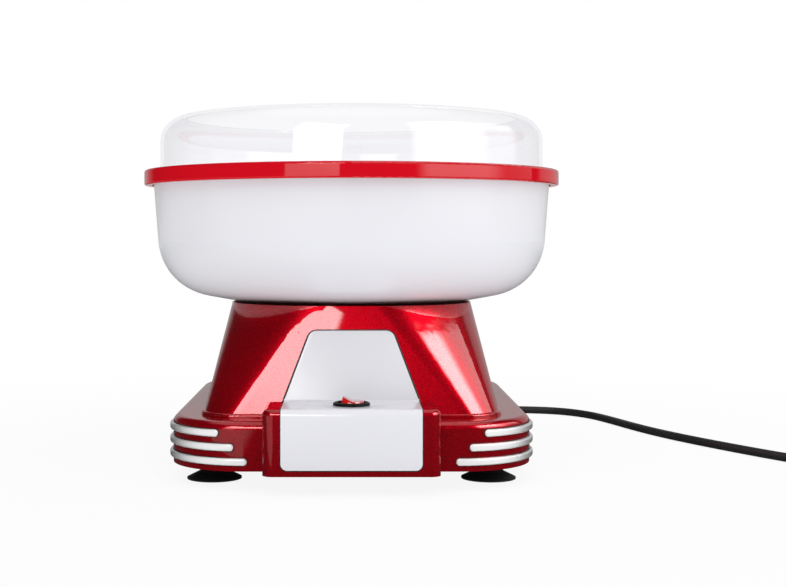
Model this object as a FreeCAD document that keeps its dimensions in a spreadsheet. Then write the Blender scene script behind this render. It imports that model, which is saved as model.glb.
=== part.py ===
import FreeCAD, Part
import math
import os
import re

import Sketcher

os.makedirs("parts", exist_ok=True)
doc = FreeCAD.newDocument("cotton_candy_machine")

# Driving dimensions in millimetres and degrees. The origin is on the table under the spindle,
# +Z is up and -Y is the side with the switch.
SIZES = {
    # base, a rounded rectangle open at the bottom
    "base_half_width": 114,
    "base_half_depth": 135,
    "base_corner": 48,
    "base_bottom": 12,
    "base_top": 42,
    "base_wall": 2.6,
    "base_edge": 4.5,
    "gland_hole": 5.2,
    "window_depth": 24,
    "boss_radius": 4.5,
    "boss_side": 100,
    "boss_across": 70,
    "boss_along": 120,
    "screw_hole": 1.6,
    "screw_clearance": 1.8,
    "screw_head": 3.2,
    "screw_head_height": 1.8,
    "screw_shank": 1.5,
    # tower between the base and the bowl
    "neck_half_width": 94,
    "neck_half_depth": 114,
    "neck_corner": 24,
    "neck_foot": 44.4,
    "neck_proud": 2.2,
    "neck_top_half_width": 81,
    "neck_top_half_depth": 98,
    "neck_top_corner": 65,
    "neck_top": 110.8,
    "neck_wall": 3.4,
    "neck_screw_inset": 7.5,
    "neck_screw_along": 50,
    "neck_edge": 1.4,
    "skirt_inset": 12,
    "skirt_drop": 4,
    "deck_thick": 3,
    "spigot_radius": 50,
    "spigot_wall": 3,
    "spigot_top": 116,
    # front frame and the white panel in it
    "frame_half_width": 53.5,
    "frame_front": 154,
    "frame_top": 51.8,
    "frame_wall": 2.4,
    "frame_edge": 6.5,
    "frame_shoulder": 3.5,
    "frame_screw_side": 47.6,
    "frame_screw_height": 27,
    "panel_half_width": 42.3,
    "panel_bottom": 15.8,
    "panel_top": 95.6,
    "panel_top_half_width": 25.8,
    "panel_thick": 2.4,
    "panel_proud": 0.3,
    "panel_lift": 0.7,
    "panel_spread": 3.5,
    "panel_bend": 4.5,
    "panel_gap": 0.25,
    # rocker switch on the ledge
    "switch_reach": 131,
    "switch_hole": 10.2,
    "bezel_radius": 11.4,
    "bezel_height": 2,
    "cup_depth": 8,
    "terminal_place": 6,
    "terminal_half_width": 3.15,
    "terminal_half_thick": 0.4,
    "terminal_length": 9,
    "barrel_radius": 9.9,
    "barrel_depth": 16,
    "rocker_ball": 8.3,
    "rocker_pivot": 0.7,
    "rocker_tilt": 12.5,
    "rocker_half_length": 6.6,
    "rocker_valley": 3.3,
    "rocker_peak": 6.2,
    "rocker_under": 5,
    # silver strips round the front corners
    "strip_height": 4.6,
    "strip_proud": 2.2,
    "strip_lower": 17.9,
    "strip_middle": 26.6,
    "strip_upper": 35.1,
    "strip_lower_end": 63.6,
    "strip_middle_end": 71.8,
    "strip_upper_end": 81.3,
    "strip_stagger": 9,
    "strip_side_end": 62,
    # bottom cover and feet
    "cover_thick": 2.5,
    "cover_rise": 0.4,
    "cover_gap": 0.3,
    "rib_place": 34,
    "rib_half_thick": 1,
    "rib_half_length": 100,
    "rib_height": 3,
    "vent_place": 14,
    "vent_half_length": 11,
    "vent_half_width": 1.5,
    "vent_pitch": 8,
    "foot_place": 88,
    "foot_radius": 17.5,
    "foot_stem": 8,
    "stud_radius": 4,
    "stud_head": 5.6,
    "stud_rise": 3.4,
    "foot_dish": 3.2,
    "foot_lip": 2.5,
    # bowl
    "bowl_gap": 0.3,
    "bowl_wall": 2.6,
    "bowl_floor_radius": 84,
    "bowl_knee_radius": 133,
    "bowl_knee_height": 120.4,
    "bowl_knee_round": 41,
    "bowl_rim_radius": 139,
    "bowl_rim": 198.2,
    "collar_radius": 53,
    "collar_top": 121,
    # ring on the bowl's rim
    "ring_radius": 145,
    "ring_bottom": 190.4,
    "ring_top": 200.8,
    "ring_wall": 2,
    "ring_mouth": 134.1,
    "ring_ledge": 195.2,
    # clear guard
    "guard_radius": 133.8,
    "guard_wall": 2.2,
    "guard_top": 238,
    "guard_shoulder": 17,
    "guard_mouth": 115.5,
    # heater
    "tray_radius": 46.4,
    "tray_sheet": 1,
    "tray_floor": 99,
    "tray_hole": 9,
    "element_ring": 32,
    "element_tube": 3.25,
    "element_height": 108,
    "element_gap": 24,
    "element_bend": 6,
    "element_end": 88,
    "standoff_ring": 40.5,
    "standoff_radius": 3.5,
    "element_bush": 6,
    "cutout_place": 22,
    "cutout_radius": 8,
    "cutout_height": 7,
    # motor and its bracket
    "bracket_half": 53,
    "bracket_bottom": 84,
    "bracket_sheet": 2,
    "bracket_boss": 42,
    "bracket_boss_radius": 5,
    "bush_height": 4,
    "bush_radius": 7.5,
    "motor_radius": 22,
    "motor_bottom": 27,
    "motor_nose": 8.75,
    "motor_screw_place": 14.5,
    "motor_screw_shank": 1.9,
    "shaft_radius": 2.5,
    "shaft_bottom": 21,
    "shaft_top": 134,
    "hub_radius": 6.5,
    "hub_bottom": 103,
    "hub_top": 112,
    "pin_radius": 1.2,
    "pin_height": 114,
    "pin_length": 18,
    # extractor head
    "head_radius": 40,
    "head_bottom": 112.2,
    "head_floor": 117,
    "head_lid": 141,
    "head_sheet": 1.6,
    "head_hub": 8,
    "head_hub_top": 128,
    "head_bore": 2.55,
    "head_mouth": 15,
    "head_post_ring": 27,
    "band_radius": 38.3,
    "band_sheet": 1.2,
    "band_slots": 40,
    "slot_half_width": 0.9,
    # rectifier board
    "board_place": 62,
    "board_post": 7.1,
    "board_post_side": 16,
    "board_post_along": 10,
    "board_half_width": 22,
    "board_half_depth": 14,
    "board_thick": 1.6,
    # mains lead
    "gland_side": 56,
    "gland_height": 22,
    "gland_reach": 154,
    "cord_radius": 3.1,
    "coil_inner_turn": 28.2,
    "coil_outer_turn": 34.4,
    "plug_length": 38,
    "plug_half_width": 17.5,
    "plug_thick": 13.4,
    "plug_nose_half_width": 5,
    "plug_waist_half_width": 8,
    "plug_waist": 14,
    "plug_shoulder": 22,
    "plug_pin_radius": 2,
    "plug_pin_length": 19,
    "plug_pin_spacing": 19,
}

sheet = doc.addObject("Spreadsheet::Sheet", "dims")
for row, (alias, number) in enumerate(SIZES.items(), start=1):
    sheet.set(f"A{row}", alias)
    sheet.set(f"B{row}", str(number))
    sheet.setAlias(f"B{row}", alias)
doc.recompute()

PIECES = []


# ------------------------------------------------------------------ how sizes reach the features
def bound(rule):
    """The rule with every size that it names written as a cell of the sheet."""
    return re.sub(r"[a-z_]+", lambda word: "dims." + word[0] if word[0] in SIZES else word[0], rule)


def size(rule):
    """The number that a rule of the sheet's sizes comes to."""
    return float(sheet.evalExpression(bound(rule)))


def body(label, across="0", along="0", up="0"):
    """A sub-part's body, standing at a place given by rules of the sheet."""
    piece = doc.addObject("PartDesign::Body", label)
    piece.Label = label
    spot = FreeCAD.Vector(size(across), size(along), size(up))
    piece.Placement = FreeCAD.Placement(spot, FreeCAD.Rotation())
    for axis, rule in zip("xyz", (across, along, up)):
        if rule != "0":
            piece.setExpression("Placement.Base." + axis, bound(rule))
    PIECES.append(piece)
    return piece


def sketch_on(piece, name, role, offset="0"):
    """A sketch on one of the body's own origin planes, moved along the plane's normal."""
    drawing = piece.newObject("Sketcher::SketchObject", f"{piece.Label}_{name}")
    plane = next(item for item in piece.Origin.OriginFeatures if item.Role == role)
    drawing.AttachmentSupport = [(plane, "")]
    drawing.MapMode = "FlatFace"
    drawing.setExpression("AttachmentOffset.Base.z", bound(offset))
    return drawing


def place(drawing, geometry, end, across, up):
    """Hold a point of the sketch at sizes read from the sheet."""
    for kind, rule, axis in (("DistanceX", across, -2), ("DistanceY", up, -1)):
        if abs(size(rule)) < 1e-9:
            drawing.addConstraint(Sketcher.Constraint("PointOnObject", geometry, end, axis))
        else:
            index = drawing.addConstraint(Sketcher.Constraint(kind, -1, 1, geometry, end, size(rule)))
            drawing.setExpression(f"Constraints[{index}]", bound(rule))


def hold_radius(drawing, geometry, radius):
    index = drawing.addConstraint(Sketcher.Constraint("Radius", geometry, size(radius)))
    drawing.setExpression(f"Constraints[{index}]", bound(radius))


def circle(drawing, across, up, radius):
    middle = FreeCAD.Vector(size(across), size(up), 0)
    index = drawing.addGeometry(Part.Circle(middle, FreeCAD.Vector(0, 0, 1), size(radius)))
    place(drawing, index, 3, across, up)
    hold_radius(drawing, index, radius)


def outline(drawing, corners):
    """A closed outline through corners (across, up) or (across, up, radius of the rounding)."""
    count = len(corners)
    points = [FreeCAD.Vector(size(corner[0]), size(corner[1]), 0) for corner in corners]
    arrive = list(points)
    leave = list(points)
    arcs = {}
    for index, corner in enumerate(corners):
        if len(corner) < 3:
            continue
        point = points[index]
        back = (points[index - 1] - point).normalize()
        ahead = (points[(index + 1) % count] - point).normalize()
        half_angle = back.getAngle(ahead) / 2
        radius = size(corner[2])
        arrive[index] = point + back * (radius / math.tan(half_angle))
        leave[index] = point + ahead * (radius / math.tan(half_angle))
        middle = point + (back + ahead).normalize() * (radius / math.sin(half_angle))
        turns_left = back.cross(ahead).z < 0
        first, last = (arrive[index], leave[index]) if turns_left else (leave[index], arrive[index])
        first_angle = math.atan2(first.y - middle.y, first.x - middle.x)
        last_angle = math.atan2(last.y - middle.y, last.x - middle.x)
        ring = Part.Circle(middle, FreeCAD.Vector(0, 0, 1), radius)
        arcs[index] = (Part.ArcOfCircle(ring, first_angle, last_angle), turns_left)
    sides = []
    for index in range(count):
        sides.append(drawing.addGeometry(Part.LineSegment(leave[index], arrive[(index + 1) % count])))
    for index, corner in enumerate(corners):
        side_in = sides[index - 1]
        side_out = sides[index]
        if index not in arcs:
            drawing.addConstraint(Sketcher.Constraint("Coincident", side_in, 2, side_out, 1))
            place(drawing, side_out, 1, corner[0], corner[1])
            continue
        arc, turns_left = arcs[index]
        number = drawing.addGeometry(arc)
        start, finish = (1, 2) if turns_left else (2, 1)
        drawing.addConstraint(Sketcher.Constraint("Tangent", side_in, 2, number, start))
        drawing.addConstraint(Sketcher.Constraint("Tangent", number, finish, side_out, 1))
        hold_radius(drawing, number, corner[2])
        mark = drawing.addGeometry(Part.Point(points[index]), True)
        place(drawing, mark, 1, corner[0], corner[1])
        drawing.addConstraint(Sketcher.Constraint("PointOnObject", mark, 1, side_in))
        drawing.addConstraint(Sketcher.Constraint("PointOnObject", mark, 1, side_out))


def rounded_box(drawing, half_width, half_depth, corner):
    """A rounded rectangle centred on the sketch's origin."""
    outline(drawing, [
        (f"-({half_width})", f"-({half_depth})", corner),
        (half_width, f"-({half_depth})", corner),
        (half_width, half_depth, corner),
        (f"-({half_width})", half_depth, corner),
    ])


def box(drawing, left, right, low, high):
    outline(drawing, [(left, low), (right, low), (right, high), (left, high)])


# ------------------------------------------------------------------ features
def extrude(piece, drawing, name, length, upward=True, both_ways=False):
    """Pad along the sketch's normal, against it, or half each way."""
    feature = piece.newObject("PartDesign::Pad", name)
    feature.Profile = drawing
    feature.setExpression("Length", bound(length))
    feature.Reversed = not upward
    feature.SideType = "Symmetric" if both_ways else "One side"
    doc.recompute()
    return feature


def cut(piece, drawing, name, length, upward=False, both_ways=False):
    """Pocket against the sketch's normal, along it, or half each way; it has to remove material."""
    before = piece.Shape.Volume
    feature = piece.newObject("PartDesign::Pocket", name)
    feature.Profile = drawing
    feature.setExpression("Length", bound(length))
    feature.Reversed = upward
    feature.SideType = "Symmetric" if both_ways else "One side"
    doc.recompute()
    if not piece.Shape.Volume < before - 1e-6:
        raise RuntimeError(f"{piece.Label}: {name} removes nothing")
    return feature


def revolve(piece, drawing, name, removing=False):
    """Turn the sketch about its vertical axis, as added or removed material."""
    before = piece.Shape.Volume if removing else 0
    feature = piece.newObject("PartDesign::Groove" if removing else "PartDesign::Revolution", name)
    feature.Profile = drawing
    feature.ReferenceAxis = (drawing, ["V_Axis"])
    feature.Angle = 360
    doc.recompute()
    if removing and not piece.Shape.Volume < before - 1e-6:
        raise RuntimeError(f"{piece.Label}: {name} removes nothing")
    return feature


def loft(piece, first, second, name, removing=False):
    feature = piece.newObject("PartDesign::SubtractiveLoft" if removing else "PartDesign::AdditiveLoft", name)
    feature.Profile = first
    feature.Sections = [second]
    feature.Ruled = False
    doc.recompute()
    return feature


def round_edges(piece, name, radius, wanted):
    """Fillet the edges of the piece's present shape that the test picks."""
    base = piece.Tip
    names = [f"Edge{number}" for number, edge in enumerate(base.Shape.Edges, start=1) if wanted(edge)]
    if not names:
        raise RuntimeError(f"{piece.Label}: {name} finds no edge")
    feature = piece.newObject("PartDesign::Fillet", name)
    feature.Base = (base, names)
    feature.setExpression("Radius", bound(radius))
    doc.recompute()
    return feature


def around(piece, feature, name, count):
    """Repeat a feature round the body's own vertical axis."""
    pattern = piece.newObject("PartDesign::PolarPattern", name)
    pattern.Originals = [feature]
    axis = next(item for item in piece.Origin.OriginFeatures if item.Role == "Z_Axis")
    pattern.Axis = (axis, [""])
    pattern.Angle = 360
    pattern.Occurrences = count
    piece.Tip = pattern
    doc.recompute()
    return pattern


def level(edge, height, slack=1e-3):
    """True for an edge that lies wholly at one height."""
    return abs(edge.BoundBox.ZMin - height) < slack and abs(edge.BoundBox.ZMax - height) < slack


def turned_piece(label, corners, across="0", along="0", up="0"):
    """A body made by one turned profile."""
    piece = body(label, across, along, up)
    profile = sketch_on(piece, "profile", "XZ_Plane")
    outline(profile, corners)
    revolve(piece, profile, "turned")
    return piece


def corner_places(across, along):
    """The four mirror images of a place, as rules."""
    return [(f"{sign_across}({across})", f"{sign_along}({along})")
            for sign_across in ("-", "") for sign_along in ("-", "")]


def ring_places(radius, count, first_angle=90):
    """Places evenly round a circle, as rules."""
    places = []
    for step in range(count):
        angle = first_angle + step * 360 / count
        places.append((f"{radius} * cos({angle} deg)", f"{radius} * sin({angle} deg)"))
    return places


def discs(piece, name, places, radius, bottom, length):
    """Equal upright cylinders at several places, in one pad."""
    drawing = sketch_on(piece, name, "XY_Plane", bottom)
    for across, along in places:
        circle(drawing, across, along, radius)
    return extrude(piece, drawing, name, length)


def holes(piece, name, places, radius, bottom, length):
    """Equal upright holes at several places, in one pocket that runs up from its bottom."""
    drawing = sketch_on(piece, name, "XY_Plane", bottom)
    for across, along in places:
        circle(drawing, across, along, radius)
    return cut(piece, drawing, name, length, upward=True)


def screws(label, places, head_radius, head_height, shank_radius, seat, length, heads_up):
    """Pan-head screws with a cross recess; the seat is the face under the head."""
    piece = body(label)
    if heads_up:
        discs(piece, "heads", places, head_radius, seat, head_height)
        discs(piece, "shanks", places, shank_radius, f"{seat} - {length}", f"{length} + 0.5")
        top = f"{seat} + {head_height}"
    else:
        discs(piece, "heads", places, head_radius, f"{seat} - {head_height}", head_height)
        discs(piece, "shanks", places, shank_radius, f"{seat} - 0.5", f"{length} + 0.5")
        top = f"{seat} - {head_height}"
    for name, half_across, half_along in (("slot_across", "1.5", "0.35"), ("slot_along", "0.35", "1.5")):
        recess = sketch_on(piece, name, "XY_Plane", top)
        for across, along in places:
            box(recess, f"{across} - {half_across}", f"{across} + {half_across}",
                f"{along} - {half_along}", f"{along} + {half_along}")
        cut(piece, recess, name, f"{head_height} * 0.6", upward=not heads_up)
    return piece


# ------------------------------------------------------------------ places that several pieces share
COVER_TOP = "base_bottom + cover_rise + cover_thick"
COVER_SCREW_PLACES = [("-boss_side", "0"), ("boss_side", "0")] + corner_places("boss_across", "boss_along")
FOOT_PLACES = corner_places("foot_place", "foot_place")
NECK_SCREW_PLACES = corner_places("neck_half_width - neck_screw_inset", "neck_screw_along")
BUSH_PLACES = corner_places("bracket_boss", "bracket_boss")
MOTOR_SCREW_PLACES = [("-motor_screw_place", "0"), ("motor_screw_place", "0")]
STANDOFF_PLACES = ring_places("standoff_ring", 3)
HEAD_POST_PLACES = ring_places("head_post_ring", 3, 30)
HALF_GAP = "element_gap / 2 * 1 deg"
LEG_PLACES = [
    (f"{side}element_ring * sin({HALF_GAP})", f"-element_ring * cos({HALF_GAP})")
    for side in ("-", "")
]
BOARD_POST_PLACES = [(f"board_place {across} board_post_side", f"board_place {along} board_post_along")
                     for across in "-+" for along in "-+"]


# ------------------------------------------------------------------ base
def base_section(drawing, inset="0"):
    """The base's plan, its sides moved inwards."""
    half_width = f"base_half_width - ({inset})"
    half_depth = f"base_half_depth - ({inset})"
    rounded_box(drawing, half_width, half_depth, f"base_corner - ({inset})")


def tower_section(drawing, inset="0"):
    """The plan of the tower's foot, its sides moved inwards."""
    half_width = f"neck_half_width - ({inset})"
    half_depth = f"neck_half_depth - ({inset})"
    rounded_box(drawing, half_width, half_depth, f"neck_corner - ({inset})")


def base_housing():
    """Open-bottomed shell with the tower's opening, screw bosses, a wiring window and the gland hole."""
    piece = body("base_housing")
    plan = sketch_on(piece, "plan", "XY_Plane", "base_bottom")
    base_section(plan)
    extrude(piece, plan, "block", "base_top - base_bottom")
    round_edges(piece, "top_edge", "base_edge", lambda edge: level(edge, size("base_top")))
    hollow = sketch_on(piece, "hollow", "XY_Plane", "base_bottom")
    base_section(hollow, "base_wall")
    cut(piece, hollow, "shell", "base_top - base_bottom - base_wall", upward=True)
    opening = sketch_on(piece, "opening", "XY_Plane", "base_top")
    tower_section(opening, "skirt_inset - 0.3")
    cut(piece, opening, "tower_opening", "base_wall + 1")
    boss_length = f"base_top - base_wall + 0.5 - ({COVER_TOP})"
    discs(piece, "bosses", COVER_SCREW_PLACES, "boss_radius", COVER_TOP, boss_length)
    holes(piece, "boss_holes", COVER_SCREW_PLACES, "screw_hole", COVER_TOP, "18")
    holes(piece, "tower_holes", NECK_SCREW_PLACES, "screw_clearance", "base_top - base_wall - 1", "5")
    screw_holes = sketch_on(piece, "frame_holes", "XZ_Plane", "base_half_depth + 1")
    for side in ("-", ""):
        circle(screw_holes, f"{side}frame_screw_side", "frame_screw_height", "screw_clearance")
    cut(piece, screw_holes, "frame_screw_holes", "base_wall + 2")
    window = sketch_on(piece, "window", "XY_Plane", "base_top + 1")
    box(window, "-panel_half_width", "panel_half_width", "-(base_half_depth + 1)", "-(neck_half_depth + 3)")
    cut(piece, window, "wiring_window", "window_depth")
    gland = sketch_on(piece, "gland", "XZ_Plane", "-(base_half_depth + 1)")
    circle(gland, "gland_side", "gland_height", "gland_hole")
    cut(piece, gland, "gland_hole", "base_wall + 3", upward=True)
    return piece


def bottom_cover():
    """Plate screwed up into the base, with vent slots under the motor, stiffening ribs and board posts."""
    piece = body("bottom_cover")
    plan = sketch_on(piece, "plan", "XY_Plane", "base_bottom + cover_rise")
    base_section(plan, "base_wall + cover_gap")
    extrude(piece, plan, "plate", "cover_thick")
    ribs = sketch_on(piece, "ribs", "XY_Plane", COVER_TOP)
    for side in ("-", ""):
        box(ribs, f"{side}rib_place - rib_half_thick", f"{side}rib_place + rib_half_thick",
            "-rib_half_length", "rib_half_length")
    extrude(piece, ribs, "rib_pair", "rib_height")
    discs(piece, "board_posts", BOARD_POST_PLACES, "2.5", COVER_TOP, "board_post")
    holes(piece, "foot_holes", FOOT_PLACES, "stud_radius + 0.1", "base_bottom", "8")
    holes(piece, "screw_holes", COVER_SCREW_PLACES, "screw_clearance", "base_bottom", "8")
    slots = sketch_on(piece, "slots", "XY_Plane", "base_bottom")
    for row in range(-3, 4):
        for side in ("-", ""):
            box(slots, f"{side}vent_place - vent_half_length", f"{side}vent_place + vent_half_length",
                f"{row} * vent_pitch - vent_half_width", f"{row} * vent_pitch + vent_half_width")
    cut(piece, slots, "vents", "8", upward=True)
    return piece


def suction_feet():
    """Four rubber suction feet: flared cup, stem and a mushroom stud buttoned through the bottom cover."""
    seat = "base_bottom + cover_rise"
    profile = [
        ("0", "foot_dish"), ("foot_radius - 2 * foot_lip", "foot_dish / 2"), ("foot_radius - foot_lip", "0"),
        ("foot_radius", "0"),
        ("foot_radius", "0.9"), ("foot_stem + 2", "4.6"), ("foot_stem", "6.4"), ("foot_stem", seat),
        ("stud_radius", seat), ("stud_radius", f"{COVER_TOP} + 0.1"), ("stud_head", f"{COVER_TOP} + 0.1"),
        ("stud_radius - 1.5", f"{COVER_TOP} + stud_rise"), ("0", f"{COVER_TOP} + stud_rise"),
    ]
    for name, side, end in (("front_left", "-", "-"), ("front_right", "", "-"),
                            ("rear_left", "-", ""), ("rear_right", "", "")):
        turned_piece("suction_foot_" + name, profile, side + "foot_place", end + "foot_place")


def trim_strips():
    """Three silver beads round each front corner, the lower ones longer; the left set is mirrored."""
    for number, name in enumerate(("upper", "middle", "lower")):
        piece = body("trim_strip_right_" + name)
        middle = "strip_" + name
        band = sketch_on(piece, "band", "XY_Plane", f"{middle} - strip_height / 2")
        side_end = f"-(strip_side_end + strip_stagger * {2 - number})"
        outline(band, [
            ("base_half_width - base_corner - 6", "-base_half_depth"),
            ("base_half_width", "-base_half_depth", "base_corner"),
            ("base_half_width", side_end),
            ("base_half_width + strip_proud", side_end),
            ("base_half_width + strip_proud", "-(base_half_depth + strip_proud)",
             "base_corner + strip_proud"),
            ("base_half_width - base_corner - 6", "-(base_half_depth + strip_proud)"),
        ])
        extrude(piece, band, "bead", "strip_height")
        front = sketch_on(piece, "front", "XZ_Plane")
        box(front, "20", f"{middle}_end", f"{middle} - strip_height", f"{middle} + strip_height")
        cut(piece, front, "front_end", "base_half_depth + 20", upward=True)

        def across_end(edge):
            extent = edge.BoundBox
            at_an_end = extent.XLength < 1e-6 or extent.YMin > -size("base_half_depth - base_corner")
            return edge.Length < size("strip_proud") * 1.6 and extent.ZLength < 1e-6 and at_an_end

        def on_outside(edge):
            return all(stands_proud(vertex.Point) for vertex in edge.Vertexes)

        round_edges(piece, "end_corners", "strip_height / 2 - 0.1", across_end)
        round_edges(piece, "crown", "strip_proud - 0.8", on_outside)
        mirrored = doc.addObject("Part::Mirroring", "trim_strip_left_" + name)
        mirrored.Label = "trim_strip_left_" + name
        mirrored.Source = piece
        mirrored.Normal = FreeCAD.Vector(1, 0, 0)
        PIECES.append(mirrored)


def stands_proud(point):
    """True for a point on the strips' outer face, measured out from the base's rounded wall."""
    corner = FreeCAD.Vector(size("base_half_width - base_corner"), -size("base_half_depth - base_corner"), 0)
    outward = FreeCAD.Vector(max(point.x - corner.x, 0), min(point.y - corner.y, 0), 0)
    return abs(outward.Length - size("base_corner + strip_proud")) < 0.02


# ------------------------------------------------------------------ tower
def tower_top(drawing, inset="0"):
    """The tower's top section: narrower than its foot, and much rounder at the corners."""
    half_width = f"neck_top_half_width - ({inset})"
    half_depth = f"neck_top_half_depth - ({inset})"
    rounded_box(drawing, half_width, half_depth, f"neck_top_corner - ({inset})")


# Backward run of the tower's front for each millimetre up, and its length for each millimetre up.
LEAN = "(neck_half_depth - neck_top_half_depth) / (neck_top - neck_foot)"
SLOPE = f"sqrt(1 + ({LEAN}) * ({LEAN}))"


def slope_sketch(piece, name, proud):
    """A sketch on the tower's sloping front, its height measured up the slope from the foot."""
    drawing = sketch_on(piece, name, "XZ_Plane")
    lean = FreeCAD.Rotation(FreeCAD.Vector(-1, 0, 0), 25)
    drawing.AttachmentOffset = FreeCAD.Placement(FreeCAD.Vector(0, 1, 1), lean)
    drawing.setExpression("AttachmentOffset.Rotation.Angle", bound(f"atan({LEAN})"))
    drawing.setExpression("AttachmentOffset.Base.y", bound(f"neck_foot + ({proud}) * {LEAN} / {SLOPE}"))
    drawing.setExpression("AttachmentOffset.Base.z", bound(f"neck_half_depth + ({proud}) / {SLOPE}"))
    doc.recompute()
    return drawing


def panel_shape(drawing, margin, low="0"):
    """The panel's upper trapezoid, grown by a margin, on a sketch of the sloping front."""
    up_slope = f"(panel_top - neck_foot) * {SLOPE} - panel_lift * {LEAN} + {margin}"
    outline(drawing, [
        (f"-(panel_half_width + panel_spread + {margin})", low),
        (f"panel_half_width + panel_spread + {margin}", low),
        (f"panel_top_half_width + {margin}", up_slope, "5"),
        (f"-(panel_top_half_width + {margin})", up_slope, "5"),
    ])


def neck_housing():
    """Tower tapering to a rounder, narrower top, with the panel's recess in its flat sloping front."""
    piece = body("neck_housing")
    flange = sketch_on(piece, "flange", "XY_Plane", "base_top")
    tower_section(flange, "- neck_proud")
    extrude(piece, flange, "foot_moulding", "neck_foot - base_top")
    round_edges(piece, "moulding_edge", "neck_edge", lambda edge: level(edge, size("neck_foot")))
    foot = sketch_on(piece, "foot", "XY_Plane", "neck_foot")
    tower_section(foot)
    top = sketch_on(piece, "top", "XY_Plane", "neck_top")
    tower_top(top)
    loft(piece, foot, top, "outside")
    skirt = sketch_on(piece, "skirt", "XY_Plane", "base_top - skirt_drop")
    tower_section(skirt, "skirt_inset")
    extrude(piece, skirt, "locating_skirt", "skirt_drop")
    throat = sketch_on(piece, "throat", "XY_Plane", "base_top - skirt_drop")
    tower_section(throat, "skirt_inset + base_wall")
    cut(piece, throat, "foot_opening", "skirt_drop + neck_foot - base_top", upward=True)
    seat = slope_sketch(piece, "seat", "panel_lift - panel_thick - 0.1")
    panel_shape(seat, "1.2", "neck_wall")
    extrude(piece, seat, "panel_seat", "4", upward=False)
    inner_foot = sketch_on(piece, "inner_foot", "XY_Plane", "neck_foot")
    tower_section(inner_foot, "neck_wall")
    inner_top = sketch_on(piece, "inner_top", "XY_Plane", "neck_top - deck_thick")
    tower_top(inner_top, "neck_wall")
    before = piece.Shape.Volume
    loft(piece, inner_foot, inner_top, "inside", removing=True)
    if not piece.Shape.Volume < before:
        raise RuntimeError("neck_housing: the inside removes nothing")
    recess = slope_sketch(piece, "recess", "panel_lift - panel_thick - 0.1")
    panel_shape(recess, "panel_gap + 0.3")
    cut(piece, recess, "panel_recess", "12", upward=True)
    spigot = sketch_on(piece, "spigot", "XY_Plane", "neck_top - deck_thick")
    circle(spigot, "0", "0", "spigot_radius")
    extrude(piece, spigot, "bowl_spigot", "spigot_top - neck_top + deck_thick")
    bore = sketch_on(piece, "bore", "XY_Plane", "spigot_top")
    circle(bore, "0", "0", "spigot_radius - spigot_wall")
    cut(piece, bore, "heater_bore", "spigot_top - neck_top + deck_thick + 1")
    boss_bottom = "bracket_bottom + bracket_sheet + bush_height"
    discs(piece, "bosses", BUSH_PLACES, "bracket_boss_radius", boss_bottom,
          f"neck_top - deck_thick - ({boss_bottom}) + 0.5")
    holes(piece, "boss_holes", BUSH_PLACES, "motor_screw_shank + 0.05", boss_bottom, "12")
    discs(piece, "foot_bosses", NECK_SCREW_PLACES, "4.4", "neck_foot - 0.5", "12.5")
    holes(piece, "foot_boss_holes", NECK_SCREW_PLACES, "screw_hole", "base_top - 1", "14")
    return piece


# ------------------------------------------------------------------ front frame and panel
def tower_front(height, out="0"):
    """How far forward the tower's sloping front is at a height, plus a distance square to it."""
    return f"-(neck_half_depth - ({height} - neck_foot) * {LEAN} + ({out}) * {SLOPE})"


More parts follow.
